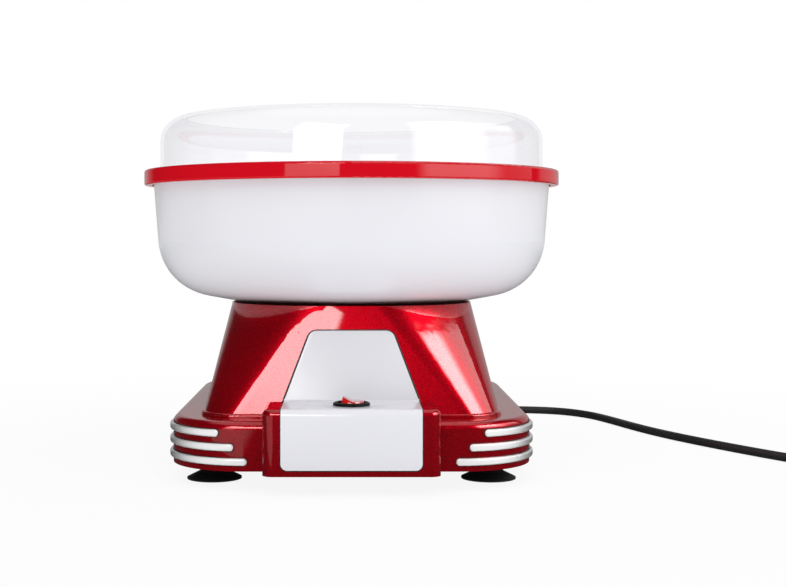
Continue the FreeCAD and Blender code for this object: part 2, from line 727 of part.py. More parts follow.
def front_frame():
    """Box in front of the base that folds back over it, recessed for the panel and hollow behind."""
    piece = body("front_frame")
    side = sketch_on(piece, "side", "YZ_Plane")
    clear = "neck_half_depth + neck_proud + 0.3"
    outline(side, [
        ("-frame_front", "base_bottom"),
        ("-frame_front", "frame_top"),
        (tower_front("frame_top", "0.3"), "frame_top"),
        (tower_front("neck_foot + 0.2", "0.3"), "neck_foot + 0.2"),
        (f"-({clear})", "neck_foot + 0.2"),
        (f"-({clear})", "base_top"),
        ("-base_half_depth", "base_top", "base_edge"),
        ("-base_half_depth", "base_bottom"),
    ])
    extrude(piece, side, "block", "2 * frame_half_width", both_ways=True)

    def upright_front(edge):
        extent = edge.BoundBox
        at_front = abs(extent.YMin + size("frame_front")) < 1e-3 and extent.YLength < 1e-3
        return at_front and extent.ZLength > 20 and extent.XLength < 1e-3

    def top_outline(edge):
        front_or_side = edge.BoundBox.YMin < -size("frame_front") + 1e-3 or edge.BoundBox.XLength < 8
        return level(edge, size("frame_top")) and front_or_side

    round_edges(piece, "front_corners", "frame_edge", upright_front)
    round_edges(piece, "shoulders", "frame_shoulder", top_outline)
    behind = "frame_front - 2 * frame_wall + 0.2"
    inside = sketch_on(piece, "inside", "YZ_Plane")
    box(inside, f"-({behind})", "-(neck_half_depth + 5)", "base_bottom + frame_wall",
        "frame_top - 2 * frame_wall + 0.2")
    cut(piece, inside, "cavity", "2 * (frame_half_width - frame_wall)", both_ways=True)
    front = sketch_on(piece, "front", "XZ_Plane", "frame_front + 1")
    wide = "panel_half_width + panel_gap"
    outline(front, [
        (f"-({wide})", "panel_bottom - panel_gap", "4.2"),
        (wide, "panel_bottom - panel_gap", "4.2"),
        (wide, "frame_top + 1"),
        (f"-({wide})", "frame_top + 1"),
    ])
    cut(piece, front, "front_recess", "panel_thick - panel_proud + 0.1 + 1")
    ledge = sketch_on(piece, "ledge", "XY_Plane", "frame_top + 1")
    box(ledge, f"-({wide})", wide, "-(frame_front + 1)", "-(neck_half_depth - 10)")
    cut(piece, ledge, "ledge_recess", "panel_thick - panel_proud + 0.1 + 1")
    recess_edge = size("frame_front - panel_thick + panel_proud - 0.1")

    def front_of_ledge(edge):
        extent = edge.BoundBox
        lowest = size("frame_top - panel_thick")
        in_height = lowest < extent.ZMin < lowest + size("panel_proud")
        at_front = abs(extent.YMin + recess_edge) < 1e-3 and extent.YLength < 1e-3
        return at_front and in_height and extent.XLength > size("panel_half_width")

    round_edges(piece, "recess_bend", "panel_bend - panel_thick - 0.1", front_of_ledge)
    switch = sketch_on(piece, "switch", "XY_Plane", "frame_top")
    circle(switch, "0", "-switch_reach", "switch_hole + 0.6")
    cut(piece, switch, "switch_hole", "frame_wall * 2 + 2")
    bosses = sketch_on(piece, "bosses", "XZ_Plane", "base_half_depth")
    for side in ("-", ""):
        circle(bosses, f"{side}frame_screw_side", "frame_screw_height", "3.8")
    extrude(piece, bosses, "screw_bosses", f"{behind} - base_half_depth + 0.5")
    pilots = sketch_on(piece, "pilots", "XZ_Plane", "base_half_depth")
    for side in ("-", ""):
        circle(pilots, f"{side}frame_screw_side", "frame_screw_height", "screw_hole")
    cut(piece, pilots, "pilot_holes", "12", upward=True)
    return piece


def frame_screws():
    """Two screws from inside the base, forward through its wall into the frame."""
    piece = body("frame_screws")
    for name, radius, length, forward in (("heads", "screw_head", "screw_head_height", False),
                                          ("shanks", "screw_shank", "13", True)):
        drawing = sketch_on(piece, name, "XZ_Plane", "base_half_depth - base_wall")
        for side in ("-", ""):
            circle(drawing, f"{side}frame_screw_side", "frame_screw_height", radius)
        extrude(piece, drawing, name, length, upward=forward)
    return piece


def front_panel():
    """One bent moulding: front plate, ledge with the switch hole, and a trapezoid up the tower."""
    piece = body("front_panel")
    side = sketch_on(piece, "side", "YZ_Plane")
    front = "frame_front + panel_proud"
    ledge = "frame_top + panel_proud"
    under = f"{ledge} - panel_thick"
    outline(side, [
        (f"-({front})", "panel_bottom"),
        (f"-({front})", ledge, "panel_bend"),
        (tower_front(ledge, "panel_lift"), ledge, "1.5"),
        (tower_front("panel_top", "panel_lift"), "panel_top"),
        (f"{tower_front('panel_top', 'panel_lift')} + panel_thick / {SLOPE}",
         f"panel_top - panel_thick * {LEAN} / {SLOPE}"),
        (tower_front(under, "panel_lift - panel_thick"), under),
        (f"-({front} - panel_thick)", under, "panel_bend - panel_thick"),
        (f"-({front} - panel_thick)", "panel_bottom"),
    ])
    extrude(piece, side, "sheet", "2 * panel_half_width", both_ways=True)
    for name, way in (("left", "-"), ("right", "")):
        trim = sketch_on(piece, name + "_trim", "XZ_Plane")
        outline(trim, [
            (f"{way}panel_top_half_width", "panel_top + 1"),
            (f"{way}panel_top_half_width", "panel_top"),
            (f"{way}(panel_half_width - 0.6)", f"{ledge} + 1.5"),
            (f"{way}(panel_half_width + 5)", f"{ledge} + 1.5"),
            (f"{way}(panel_half_width + 5)", "panel_top + 1"),
        ])
        cut(piece, trim, name + "_slant", "frame_front", upward=True)

    def top_corner(edge):
        return edge.BoundBox.ZMin > size("panel_top - panel_thick") and edge.BoundBox.XLength < 1

    def bottom_corner(edge):
        return level(edge, size("panel_bottom")) and edge.BoundBox.XLength < 1e-3

    round_edges(piece, "top_corners", "5.5", top_corner)
    round_edges(piece, "bottom_corners", "4", bottom_corner)
    switch = sketch_on(piece, "switch", "XY_Plane", "frame_top + 5")
    circle(switch, "0", "-switch_reach", "switch_hole")
    cut(piece, switch, "switch_hole", "12")
    return piece


# ------------------------------------------------------------------ switch
def rocker_switch():
    """Round switch: a cup with a domed bezel, three blades under it, and a rocker held at its tilted stop."""
    ledge = "frame_top + panel_proud"
    turned_piece("switch_body", [
        ("0", "-barrel_depth"), ("barrel_radius", "-barrel_depth"), ("barrel_radius", "0"),
        ("bezel_radius", "0"), ("bezel_radius", "bezel_height * 0.6", "0.8"),
        ("rocker_ball + 1.2", "bezel_height"), ("rocker_ball + 0.4", "bezel_height"),
        ("rocker_ball + 0.4", "-cup_depth"), ("0", "-cup_depth"),
    ], "0", "-switch_reach", ledge)
    blades = body("switch_terminals", "0", "-switch_reach", ledge)
    feet = sketch_on(blades, "feet", "XY_Plane", "-barrel_depth")
    for across in ("-terminal_place", "0", "terminal_place"):
        box(feet, f"{across} - terminal_half_thick", f"{across} + terminal_half_thick",
            "-terminal_half_width", "terminal_half_width")
    extrude(blades, feet, "tongues", "terminal_length", upward=False)
    rocker = body("switch_rocker", "0", "-switch_reach", f"{ledge} - rocker_pivot")
    ball = sketch_on(rocker, "ball", "XZ_Plane")
    radius = size("rocker_ball")
    half = Part.ArcOfCircle(Part.Circle(FreeCAD.Vector(0, 0, 0), FreeCAD.Vector(0, 0, 1), radius),
                            -math.pi / 2, math.pi / 2)
    bow = ball.addGeometry(half)
    chord = ball.addGeometry(Part.LineSegment(FreeCAD.Vector(0, -radius, 0), FreeCAD.Vector(0, radius, 0)))
    ball.addConstraint(Sketcher.Constraint("Coincident", bow, 3, -1, 1))
    ball.addConstraint(Sketcher.Constraint("Coincident", bow, 1, chord, 1))
    ball.addConstraint(Sketcher.Constraint("Coincident", bow, 2, chord, 2))
    ball.addConstraint(Sketcher.Constraint("Vertical", chord))
    hold_radius(ball, bow, "rocker_ball")
    revolve(rocker, ball, "ball_sides")
    clear = "bezel_radius"
    crown = sketch_on(rocker, "crown", "XZ_Plane")
    outline(crown, [(f"-{clear}", clear), (f"-{clear}", "rocker_peak"), ("0", "rocker_valley"),
                    (clear, "rocker_peak"), (clear, clear)])
    cut(rocker, crown, "hollow_top", f"2 * {clear}", both_ways=True)
    ends = sketch_on(rocker, "ends", "XZ_Plane")
    box(ends, f"-{clear}", "-rocker_half_length", f"-{clear}", clear)
    box(ends, "rocker_half_length", clear, f"-{clear}", clear)
    cut(rocker, ends, "flat_ends", f"2 * {clear}", both_ways=True)
    underside = sketch_on(rocker, "underside", "XZ_Plane")
    box(underside, f"-{clear}", clear, f"-{clear}", "-rocker_under")
    cut(rocker, underside, "flat_underside", f"2 * {clear}", both_ways=True)
    rocker.Placement = FreeCAD.Placement(rocker.Placement.Base, FreeCAD.Rotation(FreeCAD.Vector(0, 1, 0), 10))
    rocker.setExpression("Placement.Rotation.Angle", bound("rocker_tilt"))
    doc.recompute()
    return rocker


# ------------------------------------------------------------------ bowl, ring and guard
def bowl():
    """Deep bowl with a drafted wall, a large knee, a shallow crowned bottom and a centre collar."""
    underside = "neck_top + bowl_gap"
    floor_top = f"{underside} + bowl_wall"
    turned_piece("bowl", [
        ("spigot_radius + 0.4", underside),
        ("bowl_floor_radius", underside, "20"),
        ("bowl_knee_radius", "bowl_knee_height", "bowl_knee_round"),
        ("bowl_rim_radius", "bowl_rim"),
        ("bowl_rim_radius - bowl_wall", "bowl_rim"),
        ("bowl_knee_radius - bowl_wall", "bowl_knee_height + bowl_wall", "bowl_knee_round - bowl_wall"),
        ("bowl_floor_radius", floor_top, "20"),
        ("collar_radius", floor_top, "3"),
        ("collar_radius", "collar_top", "1"),
        ("spigot_radius + 0.4", "collar_top", "1"),
    ])


def rim_ring():
    """Channel-section ring: it hooks over the bowl's rim and carries the guard on an inner ledge."""
    channel = "bowl_rim_radius + 0.7"
    skirt = "bowl_rim_radius - bowl_wall - 0.4"
    turned_piece("rim_ring", [
        ("ring_mouth - 3.2", "ring_ledge - 1.8"),
        (skirt, "ring_ledge - 1.8"),
        (skirt, "ring_top - ring_wall"),
        ("ring_radius - 2.4", "ring_top - ring_wall"),
        ("ring_radius - 2.4", "ring_bottom + ring_wall"),
        (channel, "ring_bottom + ring_wall"),
        (channel, "ring_bottom"),
        ("ring_radius", "ring_bottom", "1.2"),
        ("ring_radius", "ring_top", "1.6"),
        ("ring_mouth", "ring_top", "0.8"),
        ("ring_mouth", "ring_ledge"),
        ("ring_mouth - 3.2", "ring_ledge"),
    ])


def splash_guard():
    """Clear guard: an upright wall, a quarter-round shoulder and a wide open mouth."""
    turned_piece("splash_guard", [
        ("guard_radius - guard_wall", "ring_ledge + 0.1"),
        ("guard_radius", "ring_ledge + 0.1"),
        ("guard_radius", "guard_top", "guard_shoulder"),
        ("guard_mouth", "guard_top", "0.9"),
        ("guard_mouth", "guard_top - guard_wall", "0.9"),
        ("guard_radius - guard_wall", "guard_top - guard_wall", "guard_shoulder - guard_wall"),
    ])


# ------------------------------------------------------------------ heater
def heater_tray():
    """Pressed steel pan hung in the spigot, open at the top, with holes for the shaft, legs and screws."""
    inner = "tray_radius - tray_sheet"
    piece = turned_piece("heater_tray", [
        ("tray_hole", "tray_floor"), ("tray_radius", "tray_floor", "2.5"), ("tray_radius", "spigot_top"),
        ("spigot_radius - 0.5", "spigot_top"), ("spigot_radius - 0.5", "spigot_top + tray_sheet"),
        (inner, "spigot_top + tray_sheet"), (inner, "tray_floor + tray_sheet", "1.5"),
        ("tray_hole", "tray_floor + tray_sheet"),
    ])
    holes(piece, "leg_holes", LEG_PLACES, "4.3", "tray_floor - 1", "4")
    holes(piece, "screw_holes", STANDOFF_PLACES, "screw_hole", "tray_floor - 1", "4")
    return piece


def solid_feature(label, shape):
    """A sub-part whose shape no sketch feature gives."""
    piece = doc.addObject("Part::Feature", label)
    piece.Label = label
    piece.Shape = shape
    piece.Placement = FreeCAD.Placement()
    PIECES.append(piece)
    return piece


def heating_element():
    """Tubular element: nearly a full ring above the tray's floor, with two legs bent down through it."""
    ring = size("element_ring")
    height = size("element_height")
    bend = size("element_bend")
    low = size("element_end")
    half_gap = math.radians(size("element_gap") / 2)
    bend_angle = bend / ring
    down = FreeCAD.Vector(0, 0, -1)

    def on_ring(angle, lift=0.0):
        return FreeCAD.Vector(ring * math.sin(angle), -ring * math.cos(angle), height + lift)

    def leg(sign):
        """Foot, bend start, bend middle and bend end of a leg that turns from down to along the ring."""
        foot = on_ring(sign * half_gap)
        tangent = FreeCAD.Vector(math.cos(half_gap), sign * math.sin(half_gap), 0) * sign
        end = on_ring(sign * (half_gap + bend_angle))
        start = foot + down * bend
        middle = foot + (tangent + down) * (bend * (1 - math.sqrt(0.5)))
        return FreeCAD.Vector(foot.x, foot.y, low), start, middle, end

    right = leg(1)
    left = leg(-1)
    far = on_ring(math.pi)
    edges = [
        Part.LineSegment(right[0], right[1]).toShape(),
        Part.Arc(right[1], right[2], right[3]).toShape(),
        Part.Arc(right[3], far, left[3]).toShape(),
        Part.Arc(left[3], left[2], left[1]).toShape(),
        Part.LineSegment(left[1], left[0]).toShape(),
    ]
    return solid_feature("heating_element", tube_along(Part.Wire(edges), size("element_tube")))


def tube_along(path, radius):
    """A round bar swept along a path of joined edges."""
    start = path.OrderedEdges[0]
    heading = start.tangentAt(start.FirstParameter)
    section = Part.Wire([Part.Circle(start.valueAt(start.FirstParameter), heading, radius).toShape()])
    return path.makePipeShell([section], True, False)


def element_bushes():
    piece = body("element_bushes")
    discs(piece, "lower", LEG_PLACES, "element_bush", "tray_floor - 3", "3")
    discs(piece, "neck", LEG_PLACES, "4.2", "tray_floor - 0.1", "tray_sheet + 0.2")
    discs(piece, "upper", LEG_PLACES, "element_bush", "tray_floor + tray_sheet", "1.2")
    holes(piece, "bores", LEG_PLACES, "element_tube + 0.1", "tray_floor - 4", "8")
    return piece


def tray_standoffs():
    piece = body("tray_standoffs")
    plate_top = "bracket_bottom + bracket_sheet"
    discs(piece, "pillars", STANDOFF_PLACES, "standoff_radius", plate_top, f"tray_floor - ({plate_top})")
    discs(piece, "studs", STANDOFF_PLACES, "screw_hole - 0.1", "bracket_bottom - 3", "bracket_sheet + 3.5")
    discs(piece, "nuts", STANDOFF_PLACES, "2.9", "bracket_bottom - 2.4", "2.4")
    holes(piece, "threads", STANDOFF_PLACES, "screw_hole", "tray_floor - 9", "10")
    return piece


def thermal_cutout():
    """Disc thermostat clamped under the tray's floor, with its two tongues."""
    piece = body("thermal_cutout", "0", "cutout_place", "tray_floor")
    can = sketch_on(piece, "can", "XY_Plane")
    circle(can, "0", "0", "cutout_radius")
    extrude(piece, can, "disc", "cutout_height", upward=False)
    tongues = sketch_on(piece, "tongues", "XY_Plane", "2 - cutout_height")
    box(tongues, "-(cutout_radius + 5)", "cutout_radius + 5", "-3", "3")
    extrude(piece, tongues, "blades", "0.8", upward=False)
    return piece


# ------------------------------------------------------------------ motor
def motor_bracket():
    piece = body("motor_bracket")
    plan = sketch_on(piece, "plan", "XY_Plane", "bracket_bottom")
    rounded_box(plan, "bracket_half", "bracket_half", "11")
    extrude(piece, plan, "plate", "bracket_sheet")
    centre = [("0", "0")]
    holes(piece, "nose_hole", centre, "motor_nose + 0.15", "bracket_bottom - 1", "4")
    holes(piece, "bush_holes", BUSH_PLACES, "5.2", "bracket_bottom - 1", "4")
    holes(piece, "motor_holes", MOTOR_SCREW_PLACES, "2.2", "bracket_bottom - 1", "4")
    holes(piece, "standoff_holes", STANDOFF_PLACES, "screw_hole", "bracket_bottom - 1", "4")
    return piece


def motor():
    """Motor can with a bearing nose, its brush cap below, and the long shaft that carries the head."""
    can = turned_piece("motor_can", [
        ("shaft_radius + 0.05", "motor_bottom"), ("motor_radius", "motor_bottom"),
        ("motor_radius", "bracket_bottom", "2.5"), ("motor_nose", "bracket_bottom"),
        ("motor_nose", "bracket_bottom + 4"), ("shaft_radius + 0.05", "bracket_bottom + 4"),
    ])
    holes(can, "threads", MOTOR_SCREW_PLACES, "2.05", "bracket_bottom - 6", "7")
    turned_piece("motor_end_cap", [
        ("shaft_radius + 0.5", "motor_bottom"), ("shaft_radius + 0.5", "shaft_bottom - 0.5"),
        ("0", "shaft_bottom - 0.5"), ("0", "shaft_bottom - 1.7"), ("7", "shaft_bottom - 1.7"),
        ("9", "motor_bottom - 4"), ("motor_radius - 1", "motor_bottom - 4", "2"),
        ("motor_radius - 1", "motor_bottom"),
    ])
    shaft = turned_piece("motor_shaft", [
        ("0", "shaft_bottom"), ("shaft_radius", "shaft_bottom"), ("shaft_radius", "shaft_top - 0.8"),
        ("shaft_radius - 0.8", "shaft_top"), ("0", "shaft_top"),
    ])
    cross = sketch_on(shaft, "cross", "YZ_Plane")
    circle(cross, "0", "pin_height", "pin_radius + 0.02")
    cut(shaft, cross, "pin_hole", "4 * shaft_radius", both_ways=True)
    pin = body("drive_pin")
    section = sketch_on(pin, "section", "YZ_Plane")
    circle(section, "0", "pin_height", "pin_radius")
    extrude(pin, section, "rod", "pin_length", both_ways=True)
    turned_piece("drive_hub", [
        ("shaft_radius + 0.02", "hub_bottom"), ("hub_radius - 1.5", "hub_bottom"),
        ("hub_radius", "hub_bottom + 1.5"), ("hub_radius", "hub_top"), ("shaft_radius + 0.02", "hub_top"),
    ])


def bracket_bushes():
    piece = body("bracket_bushes")
    discs(piece, "upper", BUSH_PLACES, "bush_radius", "bracket_bottom + bracket_sheet", "bush_height")
    discs(piece, "neck", BUSH_PLACES, "5.1", "bracket_bottom - 0.1", "bracket_sheet + 0.2")
    discs(piece, "lower", BUSH_PLACES, "bush_radius", "bracket_bottom - 2.5", "2.5")
    holes(piece, "bores", BUSH_PLACES, "2.1", "bracket_bottom - 3", "bracket_sheet + bush_height + 4")
    return piece


# ------------------------------------------------------------------ extractor head
def extractor_head():
    """Spinning head: hub and floor, a slotted band, and a lid with the sugar mouth."""
    skirt = "band_radius - band_sheet - 0.1"
    base = turned_piece("head_base", [
        ("head_bore", "head_bottom"), ("head_hub", "head_bottom"), ("head_hub", "head_floor", "1"),
        (skirt, "head_floor + 2"), (skirt, "head_floor + 6"), (f"{skirt} - 1.4", "head_floor + 6"),
        (f"{skirt} - 1.4", "head_floor + 3.6"), ("head_hub", "head_floor + 1.6", "1.5"),
        ("head_hub", "head_hub_top", "1"), ("head_bore", "head_hub_top"),
    ])
    discs(base, "posts", HEAD_POST_PLACES, "2.6", "head_floor + 2", "head_lid - head_floor - 3")
    holes(base, "threads", HEAD_POST_PLACES, "1.3", "head_lid - 10", "12")
    slot = sketch_on(base, "slot", "YZ_Plane")
    box(slot, "-(pin_radius + 0.2)", "pin_radius + 0.2", "head_bottom - 1", "pin_height + pin_radius + 0.3")
    cut(base, slot, "drive_slot", "3 * head_hub", both_ways=True)
    band = turned_piece("head_band", [
        ("band_radius - band_sheet", "head_floor + 2.2"), ("band_radius", "head_floor + 2.2"),
        ("band_radius", "head_lid - 1.2"), ("band_radius - band_sheet", "head_lid - 1.2"),
    ])
    window = sketch_on(band, "window", "YZ_Plane")
    box(window, "-slot_half_width", "slot_half_width", "head_floor + 7.5", "head_lid - 7")
    first = cut(band, window, "slot", "band_radius + 2", upward=True)
    around(band, first, "slots", int(size("band_slots")))
    lid = turned_piece("head_cover", [
        ("head_mouth", "head_lid + 3.6"), ("head_mouth + 1.4", "head_lid + 3.6"),
        ("head_mouth + 4", "head_lid + head_sheet", "1.5"), ("head_radius", "head_lid + 0.6", "1.2"),
        ("head_radius", "head_lid - 5"), ("head_radius - 1.5", "head_lid - 5"),
        ("head_radius - 1.5", "head_lid - 1"), ("head_mouth + 2", "head_lid"), ("head_mouth", "head_lid + 1"),
    ])
    holes(lid, "screw_holes", HEAD_POST_PLACES, "1.5", "head_lid - 3", "8")
    screws("head_screws", HEAD_POST_PLACES, "2.6", "1.6", "1.2", "head_lid + 1.5", "7", True)


# ------------------------------------------------------------------ electrics
def rectifier_board():
    """Board on four posts, with a row of four diodes and a block capacitor."""
    piece = body("rectifier_board", "board_place", "board_place", COVER_TOP + " + board_post")
    board = sketch_on(piece, "board", "XY_Plane")
    box(board, "-board_half_width", "board_half_width", "-board_half_depth", "board_half_depth")
    extrude(piece, board, "laminate", "board_thick")
    diodes = sketch_on(piece, "diodes", "XY_Plane", "board_thick - 0.1")
    for number in range(4):
        box(diodes, f"-18 + {number * 5.5}", f"-15 + {number * 5.5}", "-9", "0")
    extrude(piece, diodes, "diode_row", "3.1")
    block = sketch_on(piece, "block", "XY_Plane", "board_thick - 0.1")
    box(block, "6", "19", "-10", "8")
    extrude(piece, block, "capacitor", "11")
    return piece


# ------------------------------------------------------------------ mains lead
def strain_relief():
    """Tapered bush gripping the base's rear wall, with grooves round its tail."""
    piece = body("strain_relief", "gland_side", "gland_reach", "gland_height")
    wall_out = "gland_reach - base_half_depth"
    profile = sketch_on(piece, "profile", "XY_Plane")
    outline(profile, [
        ("0", f"-({wall_out} + base_wall + 3)"), ("cord_radius + 3.6", f"-({wall_out} + base_wall + 3)"),
        ("cord_radius + 3.6", f"-({wall_out} + base_wall)"), ("cord_radius + 2", f"-({wall_out} + base_wall)"),
        ("cord_radius + 2", f"-({wall_out})"), ("cord_radius + 3.6", f"-({wall_out})"),
        ("cord_radius + 3.6", f"-({wall_out} - 2)"), ("cord_radius + 2.4", f"-({wall_out} - 3)"),
        ("cord_radius + 0.9", "0"), ("0", "0"),
    ])
    revolve(piece, profile, "tapered_bush")
    return piece


# Route of the lead from the tip of its strain relief to the coil. It drops to the table behind the base,
# swings out to the right and comes forward along the right side.
CORD_ROUTE = [
    (56, 154, 22), (56, 176, 22), (60, 199, 15), (74, 217, 6), (97, 226, 3.2), (126, 229, 3.2),
    (155, 228, 3.2), (182, 219, 3.2), (202, 196, 3.2), (214, 163, 3.2), (225, 124, 3.2), (238, 87, 3.2),
    (255, 50, 3.2), (274, 14, 3.2), (294, -21, 3.2), (316, -54, 3.2),
]


def rounded_path(points):
    """Straight runs joined by tangent arcs, each as large as its two runs allow; also the arcs' radii."""
    edges = []
    radii = []
    start = points[0]
    for before, corner, after in zip(points, points[1:], points[2:]):
        back = before - corner
        ahead = after - corner
        half_turn = (math.pi - back.getAngle(ahead)) / 2
        setback = 0.45 * min(back.Length, ahead.Length)
        radius = setback / math.tan(half_turn)
        radii.append(radius)
        back.normalize()
        ahead.normalize()
        arrive = corner + back * setback
        leave = corner + ahead * setback
        inward = (back + ahead).normalize()
        middle = corner + inward * (radius / math.cos(half_turn) - radius)
        edges.append(Part.LineSegment(start, arrive).toShape())
        edges.append(Part.Arc(arrive, middle, leave).toShape())
        start = leave
    edges.append(Part.LineSegment(start, points[-1]).toShape())
    return Part.Wire(edges), radii


def mains_cord():
    points = [FreeCAD.Vector(*point) for point in CORD_ROUTE]
    path, radii = rounded_path(points)
    radius = size("cord_radius")
    piece = solid_feature("mains_cord", tube_along(path, radius))
    print("mains_cord length", round(path.Length, 1), "radii", [round(value) for value in radii])
    print("mains_cord volume ratio", round(piece.Shape.Volume / (path.Length * math.pi * radius ** 2), 4))
    return path.Length


# The coil's stub from the lead to where it touches the outer turn, and its tail out to the plug.
STUB_IN = 24
TAIL_HEIGHT = 7
TAIL_LENGTH = 52


def cord_coil():
    """Outer form of the wound lead: a ring two turns wide and two high, with the stubs of both ends."""
    inner = size("coil_inner_turn - cord_radius")
    outer = size("coil_outer_turn + cord_radius")
    height = size("4 * cord_radius")
    radius = size("cord_radius")
    end = FreeCAD.Vector(*CORD_ROUTE[-1])
    heading = (end - FreeCAD.Vector(*CORD_ROUTE[-2])).normalize()
    sideways = FreeCAD.Vector(-heading.y, heading.x, 0)
    touch = end + heading * STUB_IN
    centre = touch + sideways * size("coil_outer_turn")
    centre.z = 0.1
    ring = Part.makeCylinder(outer, height, centre).cut(Part.makeCylinder(inner, height, centre))
    edges = [edge for edge in ring.Edges if isinstance(edge.Curve, Part.Circle)]
    ring = ring.makeFillet(radius - 0.3, edges)
    lead_in = Part.makeCylinder(radius, STUB_IN + 3, end, heading)
    tail_start = centre + FreeCAD.Vector(size("coil_outer_turn"), 0, TAIL_HEIGHT - 0.1)
    tail = Part.makeCylinder(radius, TAIL_LENGTH, tail_start, FreeCAD.Vector(0, 1, 0))
    solid_feature("cord_coil", ring.fuse([lead_in, tail]).removeSplitter())
    return tail_start + FreeCAD.Vector(0, TAIL_LENGTH, 0)


def plug(start):
    """Flat two-pin plug lying on the table, with its pins pointing away from the coil."""
    end_of_tail = (str(start.x), str(start.y), str(start.z))
    piece = body("plug_body", *end_of_tail)
    plan = sketch_on(piece, "plan", "XY_Plane")
    outline(plan, [
        ("-plug_nose_half_width", "0"), ("plug_nose_half_width", "0"),
        ("plug_waist_half_width", "plug_waist", "8"), ("plug_half_width", "plug_shoulder", "4"),
        ("plug_half_width", "plug_length", "4"), ("-plug_half_width", "plug_length", "4"),
        ("-plug_half_width", "plug_shoulder", "4"), ("-plug_waist_half_width", "plug_waist", "8"),
    ])
    extrude(piece, plan, "flat_body", "plug_thick", both_ways=True)
    round_edges(piece, "soft_edges", "2.6", lambda edge: edge.BoundBox.ZLength < 1e-6)
    pins = body("plug_pins", *end_of_tail)
    section = sketch_on(pins, "section", "XZ_Plane", "-plug_length")
    for side in ("-", ""):
        circle(section, f"{side}plug_pin_spacing / 2", "0", "plug_pin_radius")
    extrude(pins, section, "rods", "plug_pin_length", upward=False)
    tip = size("plug_length + plug_pin_length")
    round_edges(pins, "tips", "1.2", lambda edge: edge.BoundBox.YMin > tip - 0.1)
    return piece


def fasteners():
    plate_top = "bracket_bottom + bracket_sheet"
    small = ("screw_head", "screw_head_height", "screw_shank")
    screws("cover_screws", COVER_SCREW_PLACES, *small, "base_bottom + cover_rise", "16", False)
    screws("neck_screws", NECK_SCREW_PLACES, *small, "base_top - base_wall", "12", False)
    screws("tray_screws", STANDOFF_PLACES, *small, "tray_floor + tray_sheet", "8.5", True)
    screws("bracket_screws", BUSH_PLACES, "6", "2.5", "motor_screw_shank", "bracket_bottom - 2.5", "18",
           False)
    screws("motor_screws", MOTOR_SCREW_PLACES, "3.4", "2.2", "motor_screw_shank", plate_top, "7", True)


def main():
    base_housing()
    bottom_cover()
    suction_feet()
    trim_strips()
    neck_housing()
    front_frame()
    frame_screws()
    front_panel()
    rocker_switch()
    bowl()
    rim_ring()
    splash_guard()
    heater_tray()
    heating_element()
    element_bushes()
    tray_standoffs()
    thermal_cutout()
    motor_bracket()
    motor()
    bracket_bushes()
    extractor_head()
    rectifier_board()
    fasteners()
    strain_relief()
    mains_cord()
    plug(cord_coil())


def check_and_export():
    """Write one file for each sub-part, after every object and shape has been found sound."""
    doc.recompute()
    for item in doc.Objects:
        if "Invalid" in item.State or "Error" in item.State:
            raise RuntimeError(f"{item.Label} is {item.State}")
    for piece in PIECES:
        if piece.Shape.isNull() or not piece.Shape.isValid():
            raise RuntimeError(f"{piece.Label} has no valid shape")
    for piece in PIECES:
        piece.Shape.exportStep(f"parts/{piece.Label}.step")
    print(len(PIECES), "sub-parts written")


main()
check_and_export()
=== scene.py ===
import math

import bmesh
import bpy
from mathutils import Matrix, Vector


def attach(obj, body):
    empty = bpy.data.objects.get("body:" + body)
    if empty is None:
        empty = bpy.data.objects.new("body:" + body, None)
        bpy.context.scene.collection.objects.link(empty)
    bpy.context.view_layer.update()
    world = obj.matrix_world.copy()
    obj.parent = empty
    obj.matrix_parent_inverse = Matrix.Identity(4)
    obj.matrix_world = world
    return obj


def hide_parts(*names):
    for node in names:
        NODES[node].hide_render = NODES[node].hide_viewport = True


bl_info = {
    "name": "Cotton Candy Machine",
    "version": (1, 0, 0),
    "blender": (4, 5, 0),
    "location": "3D View > Sidebar > Candy",
    "description": "Dresses the packed model of a tabletop cotton candy machine",
    "category": "Add Mesh",
}

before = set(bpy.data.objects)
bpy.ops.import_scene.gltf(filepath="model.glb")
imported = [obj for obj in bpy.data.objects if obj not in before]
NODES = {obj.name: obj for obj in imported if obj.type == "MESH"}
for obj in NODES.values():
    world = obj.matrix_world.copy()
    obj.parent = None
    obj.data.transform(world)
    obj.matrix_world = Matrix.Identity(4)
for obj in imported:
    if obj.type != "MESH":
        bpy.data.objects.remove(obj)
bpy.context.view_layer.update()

MM = 0.001
WHITE = (1, 1, 1, 1)
MERGE_DISTANCE = 1e-7  # metres
SHARP_ANGLE = 35  # degrees; flatter edges are shaded smooth and aren't rounded

# Framing, in pixels; the film's width is in millimetres and the two places are in metres.
PICTURE_WIDTH = 786
FOCAL_LENGTH = 1356
SHIFT_RIGHT = 41.5
SHIFT_UP = -57.5
FILM_WIDTH = 36
CAMERA_PLACE = (0, -0.960, 0.1554)
OBJECT_MIDDLE = (0, 0, 0.1)

# The sizes of the pieces, here and in the operators, are in millimetres.
# The lead's route from the tip of its strain relief to the coil.
CORD_ROUTE = [
    (56, 154, 22), (56, 176, 22), (60, 199, 15), (74, 217, 6), (97, 226, 3.2), (126, 229, 3.2),
    (155, 228, 3.2), (182, 219, 3.2), (202, 196, 3.2), (214, 163, 3.2), (225, 124, 3.2),
    (238, 87, 3.2), (255, 50, 3.2), (274, 14, 3.2), (294, -21, 3.2), (316, -54, 3.2),
]
# The coil starts at its entry and makes three whole turns and a part. The moves from one lay to
# the next are a start and an end in turns.
COIL_CENTRE = (357.9, -54.9)
COIL_ENTRY = (329.3, -74.0)
COIL_TURNS = 3
COIL_STEPS = 18
COIL_OUTER = 34.9
COIL_INNER = 28.4
COIL_LOW = 3.2
COIL_HIGH = 9.5
COIL_INWARDS = (0.76, 0.98)
COIL_UP = (1.5, 1.74)
COIL_OUTWARDS = (2.26, 2.5)
PLUG_START = (392.3, -2.9, 7.0)

